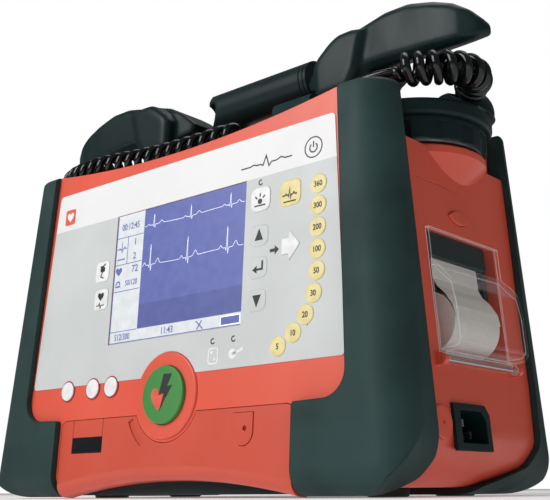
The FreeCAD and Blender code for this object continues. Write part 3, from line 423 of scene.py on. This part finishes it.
def pillow(shape, place, outline, centre, low, high, crown, edge):
    """A raised tile with a rounded rim and a slightly crowned top."""
    levels = ((1.0, low), (1.0, high - 0.6 * edge), (1.0 - 0.3 * edge / 4, high - 0.15 * edge),
              (1.0 - edge / 4, high), (0.5, high + 0.8 * crown))
    middle = Vector(centre)
    rings = []
    for share, level in levels:
        ring = []
        for x, y in outline:
            spot = middle.lerp(Vector((x, y)), share)
            ring.append(shape.verts.new(place @ Vector((spot.x, spot.y, level))))
        rings.append(ring)
    top = shape.verts.new(place @ Vector((*centre, high + crown)))
    count = len(outline)
    shape.faces.new(rings[0][::-1])
    for i in range(count):
        j = (i + 1) % count
        for lower, upper in zip(rings, rings[1:]):
            shape.faces.new((lower[i], lower[j], upper[j], upper[i]))
        shape.faces.new((rings[-1][i], rings[-1][j], top))


def circle(x, y, radius, count=40):
    """Points round a circle, anticlockwise."""
    angles = [2 * math.pi * i / count for i in range(count)]
    return [(x + radius * math.cos(a), y + radius * math.sin(a)) for a in angles]


def rounded_square(x, y, width, height, radius, steps=6):
    """A rectangle's outline with round corners, anticlockwise."""
    outline = []
    for quarter, (sx, sy) in enumerate(((1, 1), (-1, 1), (-1, -1), (1, -1))):
        cx = x + sx * (width / 2 - radius)
        cy = y + sy * (height / 2 - radius)
        for i in range(steps + 1):
            angle = math.pi / 2 * (quarter + i / steps)
            outline.append((cx + radius * math.cos(angle), cy + radius * math.sin(angle)))
    return outline


def stroke(points, width):
    """The outline of a line of even width through points, with mitred corners."""
    left, right = [], []
    for i, (x, y) in enumerate(points):
        ahead = Vector(points[min(i + 1, len(points) - 1)]) - Vector((x, y))
        behind = Vector((x, y)) - Vector(points[max(i - 1, 0)])
        ahead = ahead.normalized() if ahead.length else behind.normalized()
        behind = behind.normalized() if behind.length else ahead
        mean = (ahead + behind).normalized()
        side = Vector((-mean.y, mean.x))
        reach = width / 2 / max(0.35, side.dot(Vector((-ahead.y, ahead.x))))
        left.append((x + side.x * reach, y + side.y * reach))
        right.append((x - side.x * reach, y - side.y * reach))
    return right + left[::-1]


def arc(x, y, radius, start, stop, count=24):
    """Points along an arc, between two angles in degrees."""
    angles = [math.radians(start + (stop - start) * i / count) for i in range(count + 1)]
    return [(x + radius * math.cos(a), y + radius * math.sin(a)) for a in angles]


def placed(outline, x, y, size=1.0):
    """An outline made larger or smaller and moved."""
    return [(x + size * u, y + size * v) for u, v in outline]


# Outlines for printing and inlays, in their own units
HEART = [(0.0, -1.0), (-0.42, -0.62), (-0.82, -0.2), (-1.0, 0.2), (-0.96, 0.55), (-0.72, 0.8),
         (-0.42, 0.82), (-0.15, 0.66), (0.0, 0.42), (0.15, 0.66), (0.42, 0.82), (0.72, 0.8),
         (0.96, 0.55), (1.0, 0.2), (0.82, -0.2), (0.42, -0.62)]
BOLT = [(-0.9, -9.8), (2.4, 0.6), (-2.2, -0.2), (1.4, 12.4), (8.2, 12.0), (4.4, 4.6), (9.0, 5.2)]
ARROW = [(-1.0, -0.28), (0.1, -0.28), (0.1, -0.8), (1.0, 0.0), (0.1, 0.8), (0.1, 0.28), (-1.0, 0.28)]
PULSE = [(-1.0, 0.0), (-0.62, 0.0), (-0.5, 0.16), (-0.38, 0.0), (-0.22, 0.0), (-0.12, -0.2), (0.0, 0.95),
         (0.12, -0.45), (0.22, 0.0), (0.42, 0.0), (0.58, 0.26), (0.74, 0.0), (1.0, 0.0)]

# A numeral's height at a size of 1, and how much its strokes are thickened
CAP_HEIGHT = 0.72
NUMERAL_WEIGHT = 0.016
SCREEN_WEIGHT = 0.004


def digits(shape, place, text, x, y, height, level, thick, spread=1.0, weight=NUMERAL_WEIGHT):
    """Numerals centred on a point of a plane, as thin raised shapes."""
    curve = bpy.data.curves.new("numerals", "FONT")
    curve.body = text
    curve.size = 1.0
    curve.align_x = "CENTER"
    curve.align_y = "CENTER"
    curve.extrude = 0.5
    curve.offset = weight
    curve.resolution_u = 3
    writer = bpy.data.objects.new("numerals", curve)
    bpy.context.scene.collection.objects.link(writer)
    mesh = evaluated(writer)
    bpy.data.objects.remove(writer)
    size = height / CAP_HEIGHT
    spot = place @ Matrix.Translation((x, y, level + thick / 2))
    mesh.transform(spot @ Matrix.Diagonal((size * spread, size, thick, 1.0)))
    shape.from_mesh(mesh)
    bpy.data.meshes.remove(mesh)


# ---------------------------------------------------------------- curly cords
WIRE_DIAMETER = 0.0055
COIL_OUTER_RADIUS = 0.0105
COIL_PITCH = {"right": 0.0077, "left": 0.0107}
PLAIN_END = {"right": 0.053, "left": 0.030}
TURN_POINTS = 28
RIGHT_CORD = [(0.1555, 0.0265, 0.2435), (0.1675, 0.0205, 0.2430), (0.1765, 0.0085, 0.2425),
              (0.1775, -0.0060, 0.2420), (0.1690, -0.0195, 0.2415), (0.1530, -0.0275, 0.2420),
              (0.1365, -0.0335, 0.2420), (0.1210, -0.0365, 0.2400), (0.1060, -0.0345, 0.2384),
              (0.0915, -0.0335, 0.2380)]
LEFT_CORD = [(-0.1555, 0.0265, 0.2435), (-0.1680, 0.0205, 0.2440), (-0.1780, 0.0080, 0.2435),
             (-0.1790, -0.0070, 0.2430), (-0.1695, -0.0200, 0.2420), (-0.1530, -0.0280, 0.2410),
             (-0.1320, -0.0335, 0.2395), (-0.1070, -0.0355, 0.2382), (-0.0780, -0.0350, 0.2350),
             (-0.0460, -0.0350, 0.2322), (-0.0140, -0.0355, 0.2310), (0.0140, -0.0350, 0.2312),
             (0.0380, -0.0335, 0.2324), (0.0580, -0.0325, 0.2334)]


def smooth_line(points):
    """Points read from a smooth curve whose control points are given."""
    curve = bpy.data.curves.new("route", "CURVE")
    curve.dimensions = "3D"
    curve.resolution_u = 32
    spline = curve.splines.new("NURBS")
    spline.points.add(len(points) - 1)
    for control, point in zip(spline.points, points):
        control.co = (*point, 1.0)
    spline.order_u = 3
    spline.use_endpoint_u = True
    line = bpy.data.objects.new("route", curve)
    bpy.context.scene.collection.objects.link(line)
    mesh = evaluated(line)
    found = [v.co.copy() for v in mesh.vertices]
    bpy.data.objects.remove(line)
    bpy.data.meshes.remove(mesh)
    return found


def framed(points):
    """Each point with its direction and two cross directions that never twist suddenly."""
    side = (points[1] - points[0]).orthogonal().normalized()
    found = []
    for i, point in enumerate(points):
        ahead = (points[min(i + 1, len(points) - 1)] - points[max(i - 1, 0)]).normalized()
        side = (side - ahead * side.dot(ahead)).normalized()
        found.append((point, ahead, side, ahead.cross(side)))
    return found


def evenly(points, step):
    """Points a step apart along a line."""
    lengths = [0.0]
    for a, b in zip(points, points[1:]):
        lengths.append(lengths[-1] + (b - a).length)
    count = round(lengths[-1] / step)
    found, k = [], 0
    for i in range(count + 1):
        want = lengths[-1] * i / count
        while k < len(points) - 2 and lengths[k + 1] < want:
            k += 1
        span = lengths[k + 1] - lengths[k]
        found.append(points[k].lerp(points[k + 1], (want - lengths[k]) / span))
    return found


def helix(points, radius, pitch, hand, plain):
    """A helix round a line, growing out of it over most of a turn, and plain at the far end."""
    line = framed(evenly(points, pitch / TURN_POINTS))
    ramp = TURN_POINTS * 0.9
    coiled = len(line) - 1 - plain / pitch * TURN_POINTS
    found = []
    for i, (point, _, side, other) in enumerate(line):
        out = max(0.0, min(1.0, i / ramp, (coiled - i) / ramp))
        swell = radius * out * out * (3 - 2 * out)
        angle = hand * 2 * math.pi * i / TURN_POINTS
        found.append(point + side * (swell * math.cos(angle)) + other * (swell * math.sin(angle)))
    return found


def tube(shape, points, radius, sides=12):
    """A closed round tube along points."""
    rings = []
    for point, _, side, other in framed(points):
        rings.append([shape.verts.new(point + side * (radius * math.cos(2 * math.pi * k / sides))
                                      + other * (radius * math.sin(2 * math.pi * k / sides)))
                      for k in range(sides)])
    shape.faces.new(rings[0][::-1])
    shape.faces.new(rings[-1])
    for a, b in zip(rings, rings[1:]):
        for k in range(sides):
            n = (k + 1) % sides
            shape.faces.new((a[k], a[n], b[n], b[k]))


def curly_cord(side, route, hand):
    """One paddle's curly cord, from the knob on the paddle to the port on the case."""
    route = [Vector(p) for p in route]
    middle_radius = COIL_OUTER_RADIUS - WIRE_DIAMETER / 2
    wire = helix(smooth_line(route), middle_radius, COIL_PITCH[side], hand, PLAIN_END[side])
    mesh = mesh_from("curly_cord_" + side, lambda shape: tube(shape, wire, WIRE_DIAMETER / 2))
    cord = piece("curly_cord_" + side, mesh, "cord_black", None, smooth=True)
    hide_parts("paddle_" + side + "_cord")
    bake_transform(cord)


# ---------------------------------------------------------------- key panel
INK_LEVEL = 0.02
INK_THICK = 0.10
ENERGY_KEYS = ("360", "300", "200", "100", "50", "30", "20", "10", "5")
ENERGY_TOP = (114.5, 99.2)
ENERGY_PITCH = 12.75
ENERGY_BEND = (71.5, 48.6)
ENERGY_STEP = math.radians(16.8)
ENERGY_STRAIGHT = 4
KEY_HEIGHT = 0.55
TALL_KEY_HEIGHT = 0.70
SOFT_KEY_HEIGHT = 0.35
KEY_CROWN = 0.15
SOFT_KEY_CROWN = 0.12
ABOVE_KEY = 0.14
RING_KEYS = [(-96.4, -3.0), (-70.5, -3.0), (-52.2, -3.0)]
SOFT_KEYS = [(70.9, 76.2), (70.9, 56.8), (70.9, 37.3)]
ARROW_TILE = [(88.6, 61.5), (94.0, 61.5), (94.4, 57.6), (102.0, 66.3), (94.4, 75.0), (94.0, 71.0),
              (88.6, 71.0)]


def energy_places():
    """The middles of the round energy keys: a column that bends inwards along an arc."""
    radius = ENERGY_TOP[0] - ENERGY_BEND[0]
    places = []
    for i in range(len(ENERGY_KEYS)):
        if i < ENERGY_STRAIGHT:
            places.append((ENERGY_TOP[0], ENERGY_TOP[1] - ENERGY_PITCH * i))
        else:
            angle = -ENERGY_STEP * (i - ENERGY_STRAIGHT)
            places.append((ENERGY_BEND[0] + radius * math.cos(angle),
                           ENERGY_BEND[1] + radius * math.sin(angle)))
    return places


def key_panel():
    """The membrane's raised keys and its printed pictograms."""
    materials["key_yellow"] = printed("key_yellow", (0.86, 0.74, 0.34), 0.42)
    materials["key_white"] = printed("key_white", (0.88, 0.88, 0.88), 0.38)
    materials["ink"] = printed("ink", INK, 0.45)
    materials["ink_white"] = printed("ink_white", (0.90, 0.90, 0.90), 0.45)
    materials["heart_red"] = printed("heart_red", HEART_RED, 0.4)
    materials["key_ring"] = printed("key_ring", (0.36, 0.035, 0.045), 0.4)

    def tiles(name, shapes, material, high, crown=KEY_CROWN):
        def build(shape):
            for outline, centre in shapes:
                pillow(shape, FRONT, outline, centre, -0.1, high, crown, 0.5)

        piece(name, mesh_from(name, build), material, "case", True)

    yellow = [(circle(x, y, 5.7), (x, y)) for x, y in energy_places()]
    yellow.append((rounded_square(93.8, 98.0, 15.7, 15.7, 4.0), (93.8, 98.0)))
    tiles("keys_yellow", yellow, "key_yellow", KEY_HEIGHT)
    white = [(rounded_square(71.1, 98.7, 15.0, 15.0, 4.2), (71.1, 98.7)),
             (rounded_square(-70.3, 75.9, 13.4, 14.0, 3.0), (-70.3, 75.9)),
             (rounded_square(-69.3, 56.6, 13.4, 14.0, 3.0), (-69.3, 56.6)),
             (ARROW_TILE, (94.0, 66.3))]
    white += [(circle(x, y, 6.2), (x, y)) for x, y in RING_KEYS]
    tiles("keys_white", white, "key_white", TALL_KEY_HEIGHT)

    def rings(shape):
        for x, y in RING_KEYS:
            prism(shape, FRONT, circle(x, y, 7.0), -0.8, 0.12)

    def badge(shape):
        prism(shape, FRONT, rounded_square(-112.0, 122.6, 11.0, 11.5, 1.6), -0.1, 0.06)

    piece("key_rings", mesh_from("key_rings", rings), "key_ring", "case")
    grey = [(rounded_square(x, y, 14.0, 13.0, 4.0), (x, y)) for x, y in SOFT_KEYS]
    tiles("keys_grey", grey, "foil", SOFT_KEY_HEIGHT, SOFT_KEY_CROWN)
    piece("badge", mesh_from("badge", badge), "heart_red", "case")
    piece("panel_print", mesh_from("panel_print", dark_print), "ink", "case")
    piece("panel_print_white", mesh_from("panel_print_white", white_print), "ink_white", "case")


def dark_print(shape):
    """Numerals, arrows and pictograms in dark ink."""
    top = KEY_HEIGHT + ABOVE_KEY
    tall_top = TALL_KEY_HEIGHT + ABOVE_KEY
    soft_top = SOFT_KEY_HEIGHT + ABOVE_KEY

    def ink(outline, level=INK_LEVEL):
        prism(shape, FRONT, outline, level - 0.1, level + INK_THICK)

    for text, (x, y) in zip(ENERGY_KEYS, energy_places()):
        digits(shape, FRONT, text, x, y - 0.3, 3.4, top, 0.12, 0.85)
    ink(stroke(placed([(u * 5.4, v * 4.6) for u, v in PULSE], 93.8, 96.6), 0.8), top)
    ink(stroke([(93.8 - 4.6, 92.6), (93.8 + 4.6, 92.6)], 0.7), top)
    for angle in (40, 90, 140):
        ink(stroke([(71.1 + r * math.cos(math.radians(angle)), 97.2 + r * math.sin(math.radians(angle)))
                    for r in (2.9, 5.0)], 0.9), tall_top)
    ink(circle(71.1, 97.2, 1.7, 20), tall_top)
    ink(stroke([(66.9, 94.6), (75.3, 94.6)], 0.8), tall_top)
    ink([(67.8, 73.3), (74.2, 73.3), (71.0, 80.4)], soft_top)
    ink([(71.0, 33.2), (74.2, 40.4), (67.8, 40.4)], soft_top)
    ink(stroke([(74.4, 60.6), (74.4, 55.6), (69.4, 55.6)], 1.2), soft_top)
    ink([(66.9, 55.6), (70.2, 57.9), (70.2, 53.3)], soft_top)
    ink(placed(ARROW, 83.0, 65.5, 3.4))
    ink(placed(BOLT, 108.6, 21.0, 0.30))
    for x, y in ((70.5, 109.4), (37.3, 17.2), (54.0, 17.0)):
        ink(stroke(arc(x, y, 1.5, 60, 330, 14), 0.75))
    ink(stroke(arc(110.0, 122.3, 6.2, 0, 359.9, 48), 0.75))
    ink(stroke(arc(110.0, 122.0, 2.7, 125, 415, 24), 0.8))
    ink(stroke([(110.0, 122.2), (110.0, 126.0)], 0.8))
    ink(stroke([(74.0 + 20.0 * u, 121.0 + 5.0 * v) for u, v in PULSE], 0.8))
    ink(placed(rounded_square(0, 0, 4.6, 3.4, 1.0, 3), -69.6, 77.2), tall_top)
    ink(stroke([(-72.2, 79.4), (-69.4, 79.4), (-67.0, 81.0)], 0.9), tall_top)
    ink(stroke([(-69.6, 75.8), (-71.2, 72.4), (-68.4, 71.2)], 0.8), tall_top)
    ink(placed(HEART, -69.3, 58.6, 3.0), tall_top)
    beat = [(-73.2, 52.4), (-71.0, 52.4), (-70.2, 54.0), (-69.2, 50.8), (-68.4, 52.4), (-65.6, 52.4)]
    ink(stroke(beat, 0.6), tall_top)


def white_print(shape):
    """The two pale pictograms above the shock button: electrodes on a chest, and a hand paddle."""

    def ink(outline):
        prism(shape, FRONT, outline, INK_LEVEL - 0.1, INK_LEVEL + INK_THICK)

    ink(placed(HEART, -112.0, 122.8, 3.6))
    ink(stroke(rounded_square(38.0, 8.4, 7.4, 9.0, 1.6) + [(38.0 + 3.7, 8.4 + 2.9)], 0.8))
    ink(circle(36.6, 10.6, 1.0, 16))
    ink(circle(39.4, 6.4, 1.0, 16))
    ink(circle(53.6, 8.2, 3.0, 20))
    ink(stroke([(53.6, 8.2), (57.5, 9.0), (61.5, 10.8)], 1.8))


# ---------------------------------------------------------------- screen
LCD_LEFT, LCD_RIGHT = -58.6, 58.6
LCD_LOW, LCD_HIGH = 24.8, 112.6
COLUMN_RIGHT = -32.0
READING_ROWS = (96.8, 78.1, 59.7, 32.6)
STRIP_TOP = 32.6
LCD_FACE = -0.62
LAYER = 0.10
TRACE_RADIUS = 0.17


def heartbeat(share):
    """The height of a heart's electrical signal over one beat, from 0 to 1."""
    waves = ((0.20, 0.030, 0.14), (0.330, 0.008, -0.16), (0.352, 0.010, 1.0), (0.376, 0.010, -0.30),
             (0.56, 0.045, 0.24))
    return sum(size * math.exp(-((share - middle) / width) ** 2) for middle, width, size in waves)


def trace(base, size, beats, offset):
    """One trace across the screen."""
    count = 420
    points = []
    for i in range(count + 1):
        x = COLUMN_RIGHT + 0.8 + (LCD_RIGHT - COLUMN_RIGHT - 1.6) * i / count
        share = (i / count * beats + offset) % 1.0
        wander = 0.35 * math.sin(i / count * 9.0 + offset * 7)
        points.append((x, base + wander + size * heartbeat(share)))
    return points


def screen():
    """The picture on the screen: two traces, a column of readings and a line of status."""
    materials["lcd_blue"] = printed("lcd_blue", LCD_BLUE, 0.35, 0.55)
    materials["lcd_deep"] = printed("lcd_deep", scaled_colour(LCD_BLUE, 0.82), 0.35, 0.55)
    materials["lcd_light"] = printed("lcd_light", LCD_LIGHT, 0.35, 0.45)
    materials["lcd_white"] = printed("lcd_white", (0.86, 0.88, 0.96), 0.35, 0.6)

    def area(x0, x1, y0, y1, layer):
        level = LCD_FACE + LAYER * layer
        corners = [(x0, y0), (x1, y0), (x1, y1), (x0, y1)]
        return lambda shape: prism(shape, FRONT, corners, level - 0.12, level)

    def several(*areas):
        def build(shape):
            for each in areas:
                each(shape)
        return build

    areas = {
        "lcd_field": ("lcd_blue", area(COLUMN_RIGHT, LCD_RIGHT, STRIP_TOP, LCD_HIGH, 1)),
        "lcd_band": ("lcd_deep", area(COLUMN_RIGHT + 0.2, LCD_RIGHT - 0.2, STRIP_TOP + 0.1, 48.6, 1.5)),
        "lcd_readings": ("lcd_light", several(area(LCD_LEFT, COLUMN_RIGHT, LCD_LOW, LCD_HIGH, 1),
                                              area(COLUMN_RIGHT, LCD_RIGHT, LCD_LOW, STRIP_TOP, 1))),
    }
    for name, (material, build) in areas.items():
        piece(name, mesh_from(name, build), material, "case")

    def bright(shape):
        level = LCD_FACE + LAYER * 2.2
        for base, size, beats, offset in ((100.5, 7.5, 2.6, 0.10), (73.5, 14.0, 2.6, 0.14)):
            points = trace(base, size, beats, offset)
            line = [FRONT @ Vector((x, y, level - TRACE_RADIUS)) for x, y in points]
            tube(shape, line, TRACE_RADIUS * MM, 6)
        prism(shape, FRONT, rounded_square(50.0, 28.6, 16.0, 5.7, 0.3, 2), level - 0.2, level)

    def dark(shape):
        level = LCD_FACE + LAYER * 2.2

        def ink(outline):
            prism(shape, FRONT, outline, level - 0.1, level)

        edge = 0.45
        ink(stroke([(LCD_LEFT + 0.4, LCD_LOW + 0.4), (LCD_LEFT + 0.4, LCD_HIGH - 0.4)], edge))
        for y in READING_ROWS:
            ink(stroke([(LCD_LEFT + 0.4, y), (COLUMN_RIGHT - 0.4, y)], edge))
        ink(stroke([(LCD_LEFT + 0.4, LCD_LOW + 0.4), (LCD_RIGHT - 0.4, LCD_LOW + 0.4)], edge))
        ink(stroke([(-47.0, 78.1), (-47.0, 96.8)], edge))
        digits(shape, FRONT, "00:12:45", -45.4, 103.8, 4.6, level, 0.05, 0.80, SCREEN_WEIGHT)
        digits(shape, FRONT, "1", -39.6, 92.0, 4.6, level, 0.05, 1.0, SCREEN_WEIGHT)
        digits(shape, FRONT, "2", -39.6, 82.4, 4.6, level, 0.05, 1.0, SCREEN_WEIGHT)
        ink(stroke(placed([(u * 4.6, v * 5.0) for u, v in PULSE], -52.8, 89.0), 0.6))
        ink(stroke([(-56.6, 81.8), (-49.2, 81.8)], 0.8))
        ink(placed(HEART, -54.2, 73.6, 3.0))
        digits(shape, FRONT, "72", -38.4, 73.6, 4.8, level, 0.05, 0.95, SCREEN_WEIGHT)
        ink(stroke(arc(-54.2, 64.8, 1.8, -20, 200, 14), 0.9))
        ink(stroke([(-56.6, 63.2), (-51.8, 63.2)], 1.0))
        digits(shape, FRONT, "50/120", -41.2, 64.6, 3.9, level, 0.05, 0.80, SCREEN_WEIGHT)
        digits(shape, FRONT, "512/300", -46.0, 28.6, 4.2, level, 0.05, 0.78, SCREEN_WEIGHT)
        digits(shape, FRONT, "11:43", -4.0, 28.6, 4.4, level, 0.05, 0.85, SCREEN_WEIGHT)
        ink(stroke([(21.5, 31.2), (27.5, 26.0)], 0.7))
        ink(stroke([(22.5, 26.0), (26.5, 31.2)], 0.7))

    def battery(shape):
        level = LCD_FACE + LAYER * 3.2
        prism(shape, FRONT, rounded_square(50.0, 28.6, 14.8, 4.6, 0.2, 2), level - 0.1, level)

    piece("lcd_traces", mesh_from("lcd_traces", bright), "lcd_white", "case")
    piece("lcd_marks", mesh_from("lcd_marks", dark), "lcd_blue", "case")
    piece("lcd_battery", mesh_from("lcd_battery", battery), "lcd_blue", "case")


# ---------------------------------------------------------------- shock button
BUTTON_HEIGHT = -11.9
BUTTON_FACE = 3.5


def button_inlays():
    """The heart and the bolt let into the shock button's face."""
    def heart(shape):
        outline = placed([(u * 6.9, v * 7.6) for u, v in HEART], -2.6, BUTTON_HEIGHT - 2.2)
        prism(shape, FRONT, outline, BUTTON_FACE - 0.4, BUTTON_FACE + 0.10)

    def bolt(shape):
        outline = placed(BOLT, -0.6, BUTTON_HEIGHT)
        prism(shape, FRONT, outline, BUTTON_FACE - 0.4, BUTTON_FACE + 0.22)

    piece("shock_heart", mesh_from("shock_heart", heart), "heart_red", "shock_button")
    piece("shock_bolt", mesh_from("shock_bolt", bolt), "ink", "shock_button")


# ---------------------------------------------------------------- softened mouldings
def remeshed(mesh, name, voxel, rounds, share=0.5):
    """A closed surface made again from even faces and smoothed, so that its edges are round."""
    shape = bmesh.new()
    shape.from_mesh(mesh)
    bmesh.ops.remove_doubles(shape, verts=shape.verts, dist=1e-6)
    shape.to_mesh(mesh)
    shape.free()
    made = bpy.data.objects.new(name + "_source", mesh)
    bpy.context.scene.collection.objects.link(made)
    again = made.modifiers.new("remesh", "REMESH")
    again.mode = "VOXEL"
    again.voxel_size = voxel
    soften = made.modifiers.new("soften", "SMOOTH")
    soften.factor = share
    soften.iterations = rounds
    result = evaluated(made)
    bpy.data.objects.remove(made)
    result.name = name
    return result


def paddle_grips():
    """The wing grips with the soft edges of a thick moulding."""
    for side in ("right", "left"):
        node = "paddle_" + side + "_grip"
        mesh = remeshed(NODES[node].data.copy(), node + "_moulding", 0.0010, 26)
        made = piece(node + "_moulding", mesh, "grip_plastic", "paddle_" + side, True)
        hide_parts(node)


# ---------------------------------------------------------------- finishes of the CAD nodes
def finish_nodes():
    """Each CAD node that stays visible gets its material."""
    # The fascia and release tab take the darker red, a painted shade.
    special = {"module_fascia": "fascia_red_painted_shade", "release_tab": "fascia_red_painted_shade",
               "printer_door": "door_clear", "cord_port": "grip_plastic"}
    for name, node in NODES.items():
        node.data.materials.clear()
        node.data.materials.append(materials[special.get(name, SLOT_OF[name])])


# ---------------------------------------------------------------- stage and light
def area_light(name, place, target, size, power):
    """A square soft light that faces a target."""
    data = bpy.data.lights.new(name, "AREA")
    data.size = size
    data.energy = power
    lamp = bpy.data.objects.new(name, data)
    bpy.context.scene.collection.objects.link(lamp)
    lamp.location = place
    lamp.rotation_euler = (Vector(place) - Vector(target)).to_track_quat("Z", "Y").to_euler()


def make_stage():
    """A pale floor and plain soft light, mostly from the front left."""
    def build(shape):
        half = 6.0
        shape.faces.new([shape.verts.new((x, y, 0.0)) for x, y in
                         ((-half, -half), (half, -half), (half, half), (-half, half))])

    materials["floor"] = printed("floor", FLOOR_WHITE, 0.8, FLOOR_GLOW)
    floor = piece("floor", mesh_from("floor", build), "floor", None)

    world = bpy.data.worlds.new("world")
    bpy.context.scene.world = world
    world.use_nodes = True
    tree = world.node_tree
    backdrop = tree.nodes["Background"]
    backdrop.inputs["Color"].default_value = WHITE
    backdrop.inputs["Strength"].default_value = WORLD_GLOW
    seen = add_node(tree, "ShaderNodeBackground", Color=WHITE, Strength=1.0)
    rays = add_node(tree, "ShaderNodeLightPath")
    choose = add_node(tree, "ShaderNodeMixShader")
    tree.links.new(rays.outputs["Is Camera Ray"], choose.inputs["Fac"])
    tree.links.new(backdrop.outputs["Background"], choose.inputs[1])
    tree.links.new(seen.outputs["Background"], choose.inputs[2])
    tree.links.new(choose.outputs["Shader"], tree.nodes["World Output"].inputs["Surface"])

    middle = (0.0, 0.0, 0.14)
    area_light("key", (-0.55, -1.6, 1.15), middle, 1.2, 26.0)
    area_light("side", (1.7, -0.2, 0.55), middle, 0.9, 0.25)
    area_light("top", (0.1, 0.5, 1.9), middle, 1.3, 9.0)
    bpy.context.scene.view_settings.view_transform = "Standard"


# ---------------------------------------------------------------- build all
make_camera()
curly_cord("right", RIGHT_CORD, 1)
curly_cord("left", LEFT_CORD, -1)
finish_nodes()
key_panel()
screen()
button_inlays()
paddle_grips()
make_stage()
